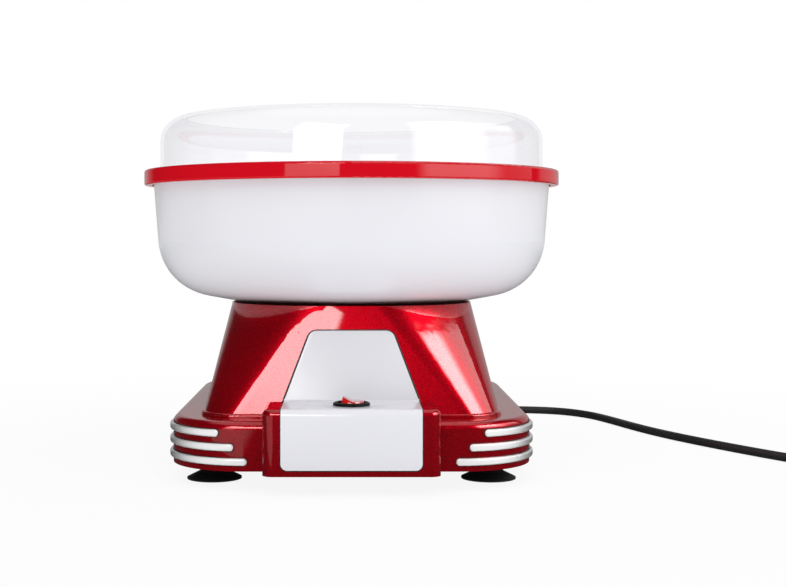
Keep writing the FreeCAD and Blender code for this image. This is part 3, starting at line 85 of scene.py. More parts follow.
# Height of the tower's foot, how far its front stands from the middle there, and how much it leans
# back for each millimetre of height.
TOWER_FOOT = 44.4
TOWER_FOOT_FRONT = 114
TOWER_LEAN = 0.24096

# Half the panel's width below its shoulder and at its top.
PANEL_HALF = 42.3
PANEL_TOP_HALF = 25.8
PANEL_SHOULDER = 53.6

# Half the base's width and depth, and the radius of its corners.
BASE_HALF = (114, 135)
BASE_CORNER = 48

SWITCH_PLACE = (0, -131, 52.1)


# ------------------------------------------------------------------ properties
class CandySizes(bpy.types.PropertyGroup):
    """Sizes of the visible pieces that a user may change."""

    cord_radius: bpy.props.FloatProperty(
        name="Cord radius", description="Half the thickness of the mains lead",
        default=0.0031, min=0.002, max=0.005, precision=4, unit="LENGTH")
    flake: bpy.props.FloatProperty(
        name="Flake", description="Size of the flakes in the red lacquer",
        default=0.00035, min=0.0001, max=0.002, precision=5, unit="LENGTH")


class CandyColours(bpy.types.PropertyGroup):
    """Colours of the finishes."""

    lacquer: bpy.props.FloatVectorProperty(
        name="Lacquer", description="Metallic red of the base, the tower and the front frame",
        default=(0.430, 0.0013, 0.0085), size=3, min=0, max=1, subtype="COLOR")
    ring: bpy.props.FloatVectorProperty(
        name="Ring", description="Red of the bowl's rim ring",
        default=(0.56, 0.004, 0.012), size=3, min=0, max=1, subtype="COLOR")
    white: bpy.props.FloatVectorProperty(
        name="White", description="White of the bowl and the front panel",
        default=(0.715, 0.718, 0.755), size=3, min=0, max=1, subtype="COLOR")
    clear: bpy.props.FloatVectorProperty(
        name="Clear", description="Tint of the clear guard",
        default=(0.970, 0.971, 0.987), size=3, min=0, max=1, subtype="COLOR")
    silver: bpy.props.FloatVectorProperty(
        name="Silver", description="Silver of the strips",
        default=(0.86, 0.86, 0.86), size=3, min=0, max=1, subtype="COLOR")
    black: bpy.props.FloatVectorProperty(
        name="Black", description="Black of the rubber, the switch and the lead",
        default=(0.012, 0.012, 0.013), size=3, min=0, max=1, subtype="COLOR")


def sizes():
    return bpy.context.scene.candy_sizes


def colours():
    return bpy.context.scene.candy_colours


# ------------------------------------------------------------------ shader maths
class Value:
    """A socket that can stand in a sum; each sum adds its Math node."""

    def __init__(self, tree, socket):
        self.tree = tree
        self.socket = socket

    def _math(self, operation, first, second):
        return self.tree.node("ShaderNodeMath", {"operation": operation}, {0: first, 1: second})

    def __add__(self, other):
        return self._math("ADD", self, other)

    def __radd__(self, other):
        return self._math("ADD", other, self)

    def __sub__(self, other):
        return self._math("SUBTRACT", self, other)

    def __rsub__(self, other):
        return self._math("SUBTRACT", other, self)

    def __mul__(self, other):
        return self._math("MULTIPLY", self, other)

    def __rmul__(self, other):
        return self._math("MULTIPLY", other, self)

    def __pow__(self, other):
        return self._math("POWER", self, other)


class Tree:
    """A node tree that is built up through one method."""

    def __init__(self, owner):
        owner.use_nodes = True
        self.tree = owner.node_tree
        self.tree.nodes.clear()

    def node(self, kind, settings=None, inputs=None, output=0):
        """A node of any type, its settings made first, then its sockets' values or links."""
        item = self.tree.nodes.new(kind)
        for key, value in (settings or {}).items():
            setattr(item, key, value)
        for key, value in (inputs or {}).items():
            if isinstance(value, Value):
                self.tree.links.new(value.socket, item.inputs[key])
            else:
                item.inputs[key].default_value = value
        return Value(self, item.outputs[output]) if item.outputs else None

    def parts(self, place):
        """The three numbers of a place or a direction."""
        return [self.node("ShaderNodeSeparateXYZ", None, {0: place}, axis) for axis in range(3)]

    def ramp(self, value, start, end):
        """Smooth rise from 0 to 1 as a value goes from start to end."""
        return self.node("ShaderNodeMapRange", {"interpolation_type": "SMOOTHSTEP"},
                         {0: value, 1: start, 2: end, 3: 0.0, 4: 1.0})

    def rays(self):
        """Masks that add up to 1: camera rays, those through the guard, mirrored ones, the rest."""
        seen, through, glossy = [self.node("ShaderNodeLightPath", output=f"Is {kind} Ray")
                                 for kind in ("Camera", "Transmission", "Glossy")]
        mirrored = glossy * (1.0 - through)
        return seen, through, mirrored, 1.0 - seen - through - mirrored

    def emission(self, strength):
        """White light of a varying strength."""
        return self.node("ShaderNodeEmission", None, {"Color": WHITE, "Strength": strength})


class Look(Tree):
    """A finish: one material with its Principled shader and the nodes that vary it."""

    made = {}

    def __init__(self, name, colour, roughness, metallic=0.0, **constants):
        self.material = bpy.data.materials.new(name)
        super().__init__(self.material)
        self.colour = colour
        values = {"Base Color": (*colour, 1), "Roughness": roughness, "Metallic": metallic}
        for socket, value in constants.items():
            values[socket.replace("_", " ")] = value
        surface = self.node("ShaderNodeBsdfPrincipled", None, values)
        self.node("ShaderNodeOutputMaterial", None, {"Surface": surface})
        self.shader = surface.socket.node
        Look.made[name] = self

    def feed(self, socket, value):
        """Link a varying value to one of the shader's sockets."""
        self.tree.links.new(value.socket, self.shader.inputs[socket])

    def places(self, stretch=None):
        """Object coordinates, stretched where a pattern runs one way."""
        where = self.node("ShaderNodeTexCoord", output="Object")
        if stretch:
            where = self.node("ShaderNodeMapping", None, {"Vector": where, "Scale": stretch})
        return where

    def noise(self, scale, detail=2.0, where=None):
        """Soft noise, its scale in patches per metre."""
        return self.node("ShaderNodeTexNoise", {"noise_dimensions": "3D"}, {
            "Vector": where or self.places(), "Scale": scale, "Detail": detail})

    def facing(self):
        """0 where a surface faces the eye, rising to 1 where it turns away."""
        return self.node("ShaderNodeLayerWeight", None, {"Blend": 0.5}, 1)

    def shades(self, pattern, first, second):
        """Base colour that goes from one shade to another as a pattern goes from 0 to 1."""
        low, high = [tuple(min(1.0, part * factor) for part in self.colour) + (1,)
                     for factor in (first, second)]
        self.feed("Base Color", self.node("ShaderNodeMix", {"data_type": "RGBA"}, {
            0: pattern, 6: low, 7: high}, 2))

    def bump(self, height, distance, strength):
        """Relief of the given depth in metres, weakened by its strength."""
        self.feed("Normal", self.node("ShaderNodeBump", None, {
            "Height": height, "Distance": distance, "Strength": strength}))


# ------------------------------------------------------------------ finishes
def lacquer(name, colour, metallic, roughness):
    """Red lacquer with metal flake under a clear coat."""
    look = Look(name, colour, roughness, metallic, Coat_Weight=1.0, Coat_Roughness=0.02,
                Coat_IOR=1.65, Specular_IOR_Level=0.0)
    flakes = look.node("ShaderNodeTexVoronoi", {"feature": "F1"}, {
        "Vector": look.places(), "Scale": 1 / sizes().flake}, 1)
    sparkle = look.node("ShaderNodeSeparateColor", None, {"Color": flakes})
    cloud = look.noise(9.0)
    look.shades(sparkle ** 3.0 * 0.42 + cloud * 0.35, 0.72, 1.9)
    look.feed("Roughness", sparkle * 0.12 + (roughness - 0.05))
    look.bump(look.noise(700.0, 1.0), 0.00002, 0.12)


def gloss(name, colour, roughness, **constants):
    """Smooth moulded plastic with slight unevenness."""
    look = Look(name, colour, roughness, **constants)
    patch = look.noise(14.0, 3.0)
    look.shades(patch, 0.985, 1.015)
    look.feed("Roughness", patch * 0.06 + (roughness - 0.03))
    look.bump(look.noise(260.0, 1.0), 0.00002, 0.3)


def textured(name, colour, roughness, grain, depth, **constants):
    """Matt moulding or rubber with a fine grain, its size and depth in metres."""
    look = Look(name, colour, roughness, **constants)
    patch = look.noise(30.0, 3.0)
    look.shades(patch, 0.8, 1.25)
    look.feed("Roughness", patch * 0.15 + (roughness - 0.07))
    look.bump(look.noise(1 / grain, 3.0), depth, 0.6)


def metal(name, colour, roughness, stretch=(1, 1, 1), marks_per_metre=900.0):
    """Bare or plated metal with drawn or brushed marks."""
    look = Look(name, colour, roughness, 1.0)
    marks = look.noise(marks_per_metre, 2.0, look.places(stretch))
    stains = look.noise(25.0, 3.0)
    look.shades(stains, 0.9, 1.08)
    look.feed("Roughness", marks * 0.16 + stains * 0.08 + (roughness - 0.12))
    look.bump(marks, 0.00001, 0.5)


def satin(name, colour, roughness):
    """Silver lacquer on plastic: pale face on, metal where it turns away."""
    look = Look(name, colour, roughness, Coat_Weight=0.5, Coat_Roughness=0.08)
    patch = look.noise(40.0, 3.0)
    look.feed("Metallic", look.ramp(look.facing(), 0.15, 0.75) * 0.65 + 0.12)
    look.shades(patch, 0.94, 1.06)
    look.feed("Roughness", patch * 0.10 + (roughness - 0.05))
    look.bump(look.noise(1500.0, 1.0), 0.000006, 0.3)


def clear(name, tint):
    """Thin clear moulding with a faint cool tint and slightly uneven faces."""
    look = Look(name, tint, 0.0, Transmission_Weight=1.0, IOR=1.002, Coat_Roughness=0.015)
    haze = look.noise(6.0, 2.0)
    edge_on = look.ramp(look.facing(), 0.35, 0.95)
    look.shades(edge_on, 1.0, 0.93)
    look.feed("Roughness", haze * 0.02)
    look.feed("Coat Weight", 0.8 - edge_on * 0.75)
    look.bump(look.noise(18.0, 1.0), 0.00015, 0.25)


def finishes():
    """Every finish, made once."""
    red, ring, white, tint, silver, black = [
        tuple(getattr(colours(), name))
        for name in ("lacquer", "ring", "white", "clear", "silver", "black")]
    lacquer("red_lacquer", red, metallic=0.72, roughness=0.305)
    gloss("ring_red", ring, 0.22, Coat_Weight=1.0, Coat_Roughness=0.04, Specular_IOR_Level=0.0)
    gloss("bowl_white", white, 0.16)
    gloss("panel_white", white, 0.18)
    # Paler white on the panel's rounded edges: a painted highlight.
    gloss("panel_edge_highlight", (0.98, 0.98, 0.99), 0.25, Coat_Weight=1.0, Coat_Roughness=0.12)
    clear("guard_clear", tint)
    satin("strip_silver", silver, 0.26)
    textured("foot_rubber", black, 0.62, grain=0.0006, depth=0.00004)
    textured("cover_black", (0.02, 0.02, 0.021), 0.55, grain=0.0008, depth=0.00005)
    textured("switch_black", black, 0.38, grain=0.0005, depth=0.00001)
    textured("bezel_black", (0.004, 0.004, 0.0045), 0.5, grain=0.0005, depth=0.000004,
             Specular_IOR_Level=0.12)
    # Dark film round the panel and the strips: painted shade of the gaps that they sit in.
    textured("gap_shade_black", (0.02, 0.004, 0.005), 0.6, grain=0.0008, depth=0.00001)
    gloss("rocker_red", (0.62, 0.012, 0.010), 0.10, Coat_Weight=1.0, Coat_Roughness=0.02)
    metal("brass", (0.72, 0.50, 0.22), 0.30)
    metal("head_aluminium", (0.80, 0.80, 0.81), 0.26, stretch=(1, 1, 12), marks_per_metre=300.0)
    metal("tray_steel", (0.58, 0.57, 0.56), 0.30)
    metal("element_steel", (0.20, 0.19, 0.18), 0.42)
    textured("ceramic", (0.78, 0.76, 0.70), 0.70, grain=0.0005, depth=0.00003)
    metal("motor_steel", (0.55, 0.55, 0.57), 0.28, stretch=(1, 1, 0.05))
    metal("screw_steel", (0.62, 0.61, 0.60), 0.30)
    textured("board_green", (0.03, 0.16, 0.05), 0.35, grain=0.001, depth=0.00002)
    textured("cord_black", black, 0.42, grain=0.0007, depth=0.00002)
    metal("pin_nickel", (0.72, 0.70, 0.66), 0.16)


LOOK_OF = {
    "red_lacquer": ["base_housing", "neck_housing", "front_frame"],
    "ring_red": ["rim_ring"],
    "bowl_white": ["bowl"],
    "panel_white": ["front_panel"],
    "guard_clear": ["splash_guard"],
    "strip_silver": [name for name in NODES if name.startswith("trim_strip")],
    "foot_rubber": [name for name in NODES if name.startswith("suction_foot")] + ["bracket_bushes"],
    "cover_black": ["bottom_cover", "motor_end_cap", "strain_relief"],
    "switch_black": ["switch_body", "plug_body"],
    "rocker_red": ["switch_rocker"],
    "brass": ["switch_terminals", "drive_hub"],
    "head_aluminium": ["head_base", "head_band", "head_cover"],
    "tray_steel": ["heater_tray", "motor_bracket", "thermal_cutout", "tray_standoffs"],
    "element_steel": ["heating_element"],
    "ceramic": ["element_bushes"],
    "motor_steel": ["motor_can", "motor_shaft", "drive_pin"],
    "screw_steel": [name for name in NODES if name.endswith("screws")],
    "board_green": ["rectifier_board"],
    "cord_black": ["mains_cord", "cord_coil"],
    "pin_nickel": ["plug_pins"],
}


def paint(piece, look):
    """Give a piece its finish, in place of whatever it had."""
    piece.data.materials.clear()
    piece.data.materials.append(Look.made[look].material)


# ------------------------------------------------------------------ mesh helpers
def vector(place):
    """A place given in millimetres, in metres."""
    return Vector(place) * MM


def loop(shape, places):
    """A closed wire through places in millimetres, apart from edges that lie on the Z axis."""
    points = [shape.verts.new(vector(place)) for place in places]
    for first, second in zip(points, points[1:] + points[:1]):
        if any(abs(value) > 1e-9 for value in (*first.co.xy, *second.co.xy)):
            shape.edges.new((first, second))
    return points


def round_corner(shape, point, radius):
    """Round a corner of a wire; the radius is in millimetres."""
    first, second = [(edge.other_vert(point).co - point.co) for edge in point.link_edges[:2]]
    reach = radius * MM / math.tan(first.angle(second) / 2)
    steps = max(4, min(24, round(radius)))
    bmesh.ops.bevel(shape, geom=[point], offset=reach, segments=steps, profile=0.5,
                    affect="VERTICES", material=-1)


def turned(corners, steps, place=(0, 0, 0)):
    """Closed section through corners (radius, height[, rounding]), turned about the Z axis."""
    shape = bmesh.new()
    points = loop(shape, [(corner[0], 0, corner[1]) for corner in corners])
    for point, corner in zip(points, corners):
        if len(corner) > 2:
            round_corner(shape, point, corner[2])
    bmesh.ops.spin(shape, geom=shape.verts[:] + shape.edges[:], cent=(0, 0, 0), axis=(0, 0, 1),
                   angle=2 * math.pi, steps=steps, use_merge=True)
    bmesh.ops.remove_doubles(shape, verts=shape.verts, dist=MERGE_DISTANCE)
    bmesh.ops.translate(shape, verts=shape.verts, vec=vector(place))
    return shape


def lay_down(shape, points):
    """Turn upright points about the X axis until their upper end points to the front."""
    bmesh.ops.rotate(shape, verts=points, cent=(0, 0, 0),
                     matrix=Matrix.Rotation(math.pi / 2, 3, "X"))


def merged(node):
    """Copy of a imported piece's mesh with its triangles joined and its flat faces whole."""
    shape = bmesh.new()
    shape.from_mesh(NODES[node].data)
    bmesh.ops.remove_doubles(shape, verts=shape.verts, dist=1e-6)
    bmesh.ops.dissolve_limit(shape, angle_limit=math.radians(0.5), verts=shape.verts,
                             edges=shape.edges)
    return shape


def soften(shape, width, steps, least=SHARP_ANGLE):
    """Round a shape's sharp edges; the new faces take its second material, if it has one."""
    bmesh.ops.recalc_face_normals(shape, faces=shape.faces)
    sharp = [edge for edge in shape.edges
             if edge.is_manifold and edge.calc_face_angle() > math.radians(least)]
    made = bmesh.ops.bevel(shape, geom=sharp, offset=width * MM, segments=steps, profile=0.5,
                           affect="EDGES", clamp_overlap=True, material=-1)
    for face in made["faces"]:
        face.material_index = 1
    return shape


def finished(name, shape, look, body, replaced=(), edge_look=None):
    """Turn a bmesh into a piece: outward normals, smooth but for its sharp edges, on its body."""
    if not edge_look:
        for face in shape.faces:
            face.material_index = 0
    bmesh.ops.remove_doubles(shape, verts=shape.verts, dist=MERGE_DISTANCE)
    bmesh.ops.recalc_face_normals(shape, faces=shape.faces)
    mesh = bpy.data.meshes.new(name)
    shape.to_mesh(mesh)
    shape.free()
    mesh.polygons.foreach_set("use_smooth", [True] * len(mesh.polygons))
    mesh.set_sharp_from_angle(angle=math.radians(SHARP_ANGLE))
    piece = bpy.data.objects.new(name, mesh)
    bpy.context.scene.collection.objects.link(piece)
    paint(piece, look)
    if edge_look:
        mesh.materials.append(Look.made[edge_look].material)
    return joined(piece, body, replaced)


def joined(piece, body, replaced=()):
    """Let a piece ride on its body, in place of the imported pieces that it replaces."""
    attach(piece, body)
    if replaced:
        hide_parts(*replaced)
    return piece


# ------------------------------------------------------------------ stage
class CandyStage(bpy.types.Operator):
    """Place the camera, the floor, the lamps and the world"""

    bl_idname = "candy.stage"
    bl_label = "Stage"

    def execute(self, context):
        scene = context.scene
        scene.view_settings.view_transform = "Standard"
        self.camera(scene)
        self.floor(scene)
        self.softbox(scene, "softbox_left", near=(-0.01, -1.38, 0.12), far=(-0.455, -0.701, 0.12),
                     height=0.55, radiance=7.4, rise=(0.0, 0.02), fall=(0.84, 0.86), loss=1.0,
                     near_lean=0.32, far_lean=0.16, top=1.0)
        self.softbox(scene, "softbox_right", near=(0.44, -0.757, 0.10), far=(1.03, 0.316, 0.10),
                     height=0.65, radiance=10.2, rise=(0.0, 0.12), fall=(0.30, 0.5), loss=0.8,
                     near_lean=0.0, far_lean=0.16, top=0.86)
        self.world(scene)
        return {"FINISHED"}

    def camera(self, scene):
        """A level camera in front of the object."""
        camera = bpy.data.objects.new("camera", bpy.data.cameras.new("camera"))
        scene.collection.objects.link(camera)
        camera.location = CAMERA_PLACE
        camera.rotation_euler = (math.pi / 2, 0, 0)
        camera.data.sensor_width = FILM_WIDTH
        camera.data.lens = FILM_WIDTH * FOCAL_LENGTH / PICTURE_WIDTH
        camera.data.shift_x = SHIFT_RIGHT / PICTURE_WIDTH
        camera.data.shift_y = SHIFT_UP / PICTURE_WIDTH
        camera.data.clip_start = 0.01
        camera.data.clip_end = 50
        camera.data.dof.use_dof = False
        scene.camera = camera

    def softbox(self, scene, name, near, far, height, radiance, rise, fall, loss, near_lean,
                far_lean, top):
        """An upright rectangular lamp from one lower corner to the other, for gloss alone.

        Its brightness rises at its near edge, falls by the loss at the far one, is least at its
        foot and fades out above the top. The rise, the fall and the two edges' lean are shares of
        its length, and the top is a share of its height.
        """
        near, far = Vector(near), Vector(far)
        along = far - near
        up = Vector((0, 0, height))
        light = bpy.data.lights.new(name, "AREA")
        light.shape = "RECTANGLE"
        light.size, light.size_y = along.length, up.length
        light.energy = radiance * math.pi * along.length * up.length
        lamp = bpy.data.objects.new(name, light)
        scene.collection.objects.link(lamp)
        lamp.visible_camera = False
        lamp.visible_diffuse = False
        # A lamp shines against its Z axis, so that axis points away from the object.
        x_axis, y_axis = along.normalized(), up.normalized()
        z_axis = x_axis.cross(y_axis)
        centre = near + along / 2 + up / 2
        flipped = z_axis.dot(centre - Vector(OBJECT_MIDDLE)) < 0
        if flipped:
            x_axis, z_axis = -x_axis, -z_axis
        turn = Matrix((x_axis, y_axis, z_axis)).transposed().to_4x4()
        lamp.matrix_world = Matrix.Translation(centre) @ turn
        nodes = Tree(light)
        where = nodes.node("ShaderNodeNewGeometry", output="Parametric")
        place, climb, _ = nodes.parts(where)
        if flipped:
            place = 1.0 - place
        low = 1.0 - climb
        # From 8 per cent at the foot to full at three quarters of the height.
        from_foot = nodes.ramp(climb, 0.02, 0.75) * 0.92 + 0.08
        bright = nodes.ramp(place - low * near_lean, *rise) * from_foot
        bright = bright * (1.0 - nodes.ramp(place - low * far_lean, *fall) * loss)
        bright = bright * (1.0 - nodes.ramp(climb, top, top + 0.06))
        nodes.node("ShaderNodeOutputLight", None, {0: nodes.emission(bright)})

    def floor(self, scene):
        """A pale floor that keeps the object's shadow and fades to the backdrop's white."""
        shape = bmesh.new()
        bmesh.ops.create_grid(shape, x_segments=2, y_segments=2, size=8)
        mesh = bpy.data.meshes.new("floor")
        shape.to_mesh(mesh)
        shape.free()
        floor = bpy.data.objects.new("floor", mesh)
        scene.collection.objects.link(floor)
        material = bpy.data.materials.new("floor_white")
        mesh.materials.append(material)
        nodes = Tree(material)
        place = nodes.node("ShaderNodeTexCoord", output="Object")
        distance = nodes.node("ShaderNodeVectorMath", {"operation": "LENGTH"}, {0: place}, 1)
        across, along, _ = nodes.parts(place)
        seen, through, mirrored, rest = nodes.rays()
        # Gloss sees a dim floor that brightens far off, and a pale card in front on the left.
        card = (1.0 - nodes.ramp(across, -0.085, -0.075)) * (1.0 - nodes.ramp(along, -0.26, -0.25))
        gloss_glow = nodes.ramp(distance, 0.5, 3.0) * 0.45 + card * 0.45 + 0.03
        # Less light comes up from a strip that runs back from just before the panel.
        strip = 1.0 - nodes.ramp(across * across, 0.006, 0.014)
        bounce = 1.68 - nodes.ramp(along, -0.26, -0.21) * strip * 0.6
        glow = nodes.emission(seen + through + mirrored * gloss_glow + rest * bounce)
        plain = nodes.node("ShaderNodeBsdfDiffuse", None, {
            "Color": (0.82, 0.82, 0.83, 1), "Roughness": 0.0})
        # The camera sees a tenth of the shadow, and none of it far off.
        far = nodes.ramp(distance, 0.22, 0.75)
        share = seen * (far * 0.1 + 0.9) + through + mirrored + rest * 0.75
        nodes.node("ShaderNodeOutputMaterial", None, {
            0: nodes.node("ShaderNodeMixShader", None, {0: share, 1: plain, 2: glow})})

    def world(self, scene):
        """White for the camera; pale walls and a ceiling for gloss; soft fill for the rest."""
        world = bpy.data.worlds.new("studio")
        scene.world = world
        nodes = Tree(world)
        side, back, up = nodes.parts(nodes.node("ShaderNodeTexCoord", output="Generated"))
        # Gloss sees a wall behind the object on each side, and a pale ceiling.
        right_wall = nodes.ramp(back + side * 0.25, 0.70, 0.80)
        left_wall = nodes.ramp(back - side * 0.2, 0.86, 0.96) * 0.6
        walls = right_wall + left_wall * (1.0 - right_wall)
        backdrop = walls * (1.0 - nodes.ramp(up, 0.45, 0.75))
        overhead = nodes.ramp(up, 0.80, 0.92)
        sheen = backdrop * 0.40 + overhead * 0.7 + 0.010
        # The fill comes most from high in front, then from the right.
        high_front = nodes.ramp(up * 0.87 - back * 0.5, 0.60, 0.95)
        fill = side * 0.34 + side * side * 0.30 + back * 0.06 + high_front * 1.65 + 0.35
        seen, through, mirrored, rest = nodes.rays()
        strength = seen + through + mirrored * sheen + rest * fill
        nodes.node("ShaderNodeOutputWorld", None, {
            0: nodes.node("ShaderNodeBackground", None, {"Color": WHITE, "Strength": strength})})


# ------------------------------------------------------------------ mains lead
def eased(value, start, end):
    """0 before start, 1 after end and a smooth rise between."""
    share = min(1.0, max(0.0, (value - start) / (end - start)))
    return share * share * (3 - 2 * share)


class CandyLead(bpy.types.Operator):
    """Lay the mains lead and its coil, and dress its plug"""

    bl_idname = "candy.lead"
    bl_label = "Mains lead"

    def execute(self, context):
        to_plug = [(PLUG_START[0] + 0.3, -38, 9.2), (PLUG_START[0], -20, 7.4), PLUG_START]
        points = CORD_ROUTE + self.coil_points() + to_plug
        curve = bpy.data.curves.new("mains_lead", "CURVE")
        curve.dimensions = "3D"
        curve.bevel_depth = sizes().cord_radius
        curve.bevel_resolution = 8
        curve.resolution_u = 10
        curve.use_fill_caps = True
        spline = curve.splines.new("NURBS")
        spline.points.add(len(points) - 1)
        for point, place in zip(spline.points, points):
            point.co = (*vector(place), 1)
        spline.order_u = 3
        spline.use_endpoint_u = True
        lead = bpy.data.objects.new("mains_lead", curve)
        context.scene.collection.objects.link(lead)
        paint(lead, "cord_black")
        joined(lead, "housing", ("mains_cord", "cord_coil"))
        dressing = self.plug_dressing()
        return {"FINISHED"}

    def plug_dressing(self):
        """Ribs for the fingers on both faces of the plug, and the sleeves on its pins."""
        start = Vector(PLUG_START)
        ribs = bmesh.new()
        count, widest, narrower, first, pitch, lift = 5, 20, 2.2, 33, 2.6, 6.55
        for way in (-1, 1):
            for rib in range(count):
                made = bmesh.ops.create_cube(ribs, size=1)["verts"]
                size = (widest - rib * narrower, 1.3, 1.0)
                bmesh.ops.scale(ribs, verts=made, vec=vector(size))
                place = start + Vector((0, first - rib * pitch, way * lift))
                bmesh.ops.translate(ribs, verts=made, vec=vector(place))
        bmesh.ops.bevel(ribs, geom=ribs.edges[:], offset=0.4 * MM, segments=2, profile=0.5,
                        affect="EDGES", material=-1)
        sleeves = bmesh.new()
        radius, length, pin_offset, middle = 2.08, 10, 9.5, 42.6
        for way in (-1, 1):
            made = bmesh.ops.create_cone(sleeves, cap_ends=True, segments=32, radius1=radius * MM,
                                         radius2=radius * MM, depth=length * MM)["verts"]
            lay_down(sleeves, made)
            place = start + Vector((way * pin_offset, middle, 0))
            bmesh.ops.translate(sleeves, verts=made, vec=vector(place))
        soften(sleeves, 0.3, 2, 60)
        return [finished("plug_ribs", ribs, "switch_black", "housing"),
                finished("plug_sleeves", sleeves, "switch_black", "housing")]

    def coil_points(self):
        """The stored length: two turns on the table, wound inwards, then up and outwards on top."""
        start = math.atan2(COIL_ENTRY[1] - COIL_CENTRE[1], COIL_ENTRY[0] - COIL_CENTRE[0])
        turns = COIL_TURNS + (2 * math.pi - start) % (2 * math.pi) / (2 * math.pi)
        steps = round(turns * COIL_STEPS)
        places = []
        for step in range(steps + 1):
            turn = turns * step / steps
            inwards = eased(turn, *COIL_INWARDS) - eased(turn, *COIL_OUTWARDS)
            radius = COIL_OUTER + (COIL_INNER - COIL_OUTER) * inwards
            height = COIL_LOW + (COIL_HIGH - COIL_LOW) * eased(turn, *COIL_UP)
            angle = start + 2 * math.pi * turn
            places.append((COIL_CENTRE[0] + radius * math.cos(angle),
                           COIL_CENTRE[1] + radius * math.sin(angle), height))
        return places


class CandyRelief(bpy.types.Operator):
    """Turn the grooved strain relief"""

    bl_idname = "candy.relief"
    bl_label = "Strain relief"

    def execute(self, context):
        relief = [(3.3, 0, 0.4), (4.0, 0, 0.5)]
        grooves, pitch, flare = 6, 2.35, 0.21
        for groove in range(grooves):
            foot, wide = 1.6 + groove * pitch, 4.1 + groove * flare
            relief += [(wide, foot, 0.2), (wide - 0.75, foot + 0.35, 0.2),
                       (wide - 0.7, foot + 1.0, 0.2), (wide + 0.15, foot + 1.35, 0.2)]
        relief += [(5.5, 16.0, 0.3), (6.7, 17.0, 0.5), (6.7, 19.0), (5.1, 19.0), (5.1, 21.6),
                   (6.7, 21.6), (6.7, 24.6), (3.3, 24.6)]
        shape = turned(relief, 48)
        lay_down(shape, shape.verts)
        bmesh.ops.translate(shape, verts=shape.verts, vec=vector(CORD_ROUTE[0]))
        finished("strain_relief_boot", shape, "cord_black", "housing", ["strain_relief"])
        return {"FINISHED"}


# ------------------------------------------------------------------ carried-over pieces
class CandyFinishes(bpy.types.Operator):
    """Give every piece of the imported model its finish"""

    bl_idname = "candy.finishes"
    bl_label = "Finishes"

    def execute(self, context):
        finishes()
        for look, names in LOOK_OF.items():
            for name in names:
                paint(NODES[name], look)
        return {"FINISHED"}


# ------------------------------------------------------------------ guard
class CandyGuard(bpy.types.Operator):
    """Turn the clear guard that stands in the ring"""

    bl_idname = "candy.guard"
    bl_label = "Guard"

    def execute(self, context):
        inside, outside, mouth = 131.6, 133.8, 115.5
        foot, under, top = 195.3, 235.8, 238
        wall = turned([
            (inside, foot), (outside, foot), (outside, top, 17), (mouth, top, 1.05),
            (mouth, under, 1.05), (inside, under, 14.8)], 180)
        finished("guard_wall", wall, "guard_clear", "guard", ["splash_guard"])
        return {"FINISHED"}


# ------------------------------------------------------------------ panel and switch
def tower_front(height):
    """How far forward the tower's leaning front stands at a height."""
    return -(TOWER_FOOT_FRONT - (height - TOWER_FOOT) * TOWER_LEAN)


class CandyPanelPlate(bpy.types.Operator):
    """Round the white panel's edges with a painted highlight, and lay a dark film round it as
    painted shade of its gap
    """

    bl_idname = "candy.panel_plate"
    bl_label = "Front panel"

    def execute(self, context):
        plate = soften(merged("front_panel"), 1.2, 4)
        # The rounded edges take the paler edge white, a painted highlight.
        finished("panel_plate", plate, "panel_white", "housing", ["front_panel"],
                 edge_look="panel_edge_highlight")
        self.seat()
        return {"FINISHED"}

    def seat(self):
        """Thin dark film under the panel, a little wider all round: painted shade of the gap round
        the panel.
        """
        spread, thick, proud, bend, corner = 0.62, 0.5, 0.3, 4.4, 4.8
        front, bottom, ledge, top = -154.1, 15.2, 51.95, 96.25
        half = PANEL_HALF + spread
        top_half = PANEL_TOP_HALF + spread + 0.2
        # Side view of the film: front and height, and the bend's radius where there is one.
        side = [(front, bottom), (front, ledge, bend), (tower_front(ledge) - proud, ledge),
                (tower_front(top) - proud, top), (tower_front(top) + thick - proud, top),
                (tower_front(ledge) + thick - proud, ledge - thick),
                (front + thick, ledge - thick, bend - thick), (front + thick, bottom)]
        shape = bmesh.new()
        points = loop(shape, [(-half, place[0], place[1]) for place in side])
        for point, place in zip(points, side):
            if len(place) > 2:
                round_corner(shape, point, place[2])
        sheet = bmesh.ops.contextual_create(shape, geom=shape.edges[:])["faces"]
        grown = bmesh.ops.extrude_face_region(shape, geom=sheet)["geom"]
        moved = [item for item in grown if isinstance(item, bmesh.types.BMVert)]
        bmesh.ops.translate(shape, verts=moved, vec=vector((2 * half, 0, 0)))
        for way in (-1, 1):
            edge = vector((way * half, 0, PANEL_SHOULDER))
            along = vector((way * top_half, 0, top)) - edge
            self.trim(shape, edge, Vector((way * along.z, 0, -way * along.x)))
        corners = [edge for edge in shape.edges if self.is_corner(edge)]
        bmesh.ops.bevel(shape, geom=corners, offset=corner * MM, segments=8, profile=0.5,
                        affect="EDGES", material=-1)
        finished("panel_seat", shape, "gap_shade_black", "housing")

    @staticmethod
    def trim(shape, point, outwards):
        """Cut away what stands outside a plane and close the cut."""
        whole = shape.verts[:] + shape.edges[:] + shape.faces[:]
        result = bmesh.ops.bisect_plane(shape, geom=whole, plane_co=point, plane_no=outwards,
                                        clear_outer=True)
        rim = [item for item in result["geom_cut"] if isinstance(item, bmesh.types.BMEdge)]
        bmesh.ops.edgenet_fill(shape, edges=rim)

    @staticmethod
    def is_corner(edge):
        """Whether an edge runs through the film's thickness at one of its four corners."""
        first, second = [point.co / MM for point in edge.verts]
        through = abs(first.x - second.x) + abs(first.z - second.z) < 0.001
        return through and edge.calc_length() < 1.2 * MM and not 16 < first.z < 95


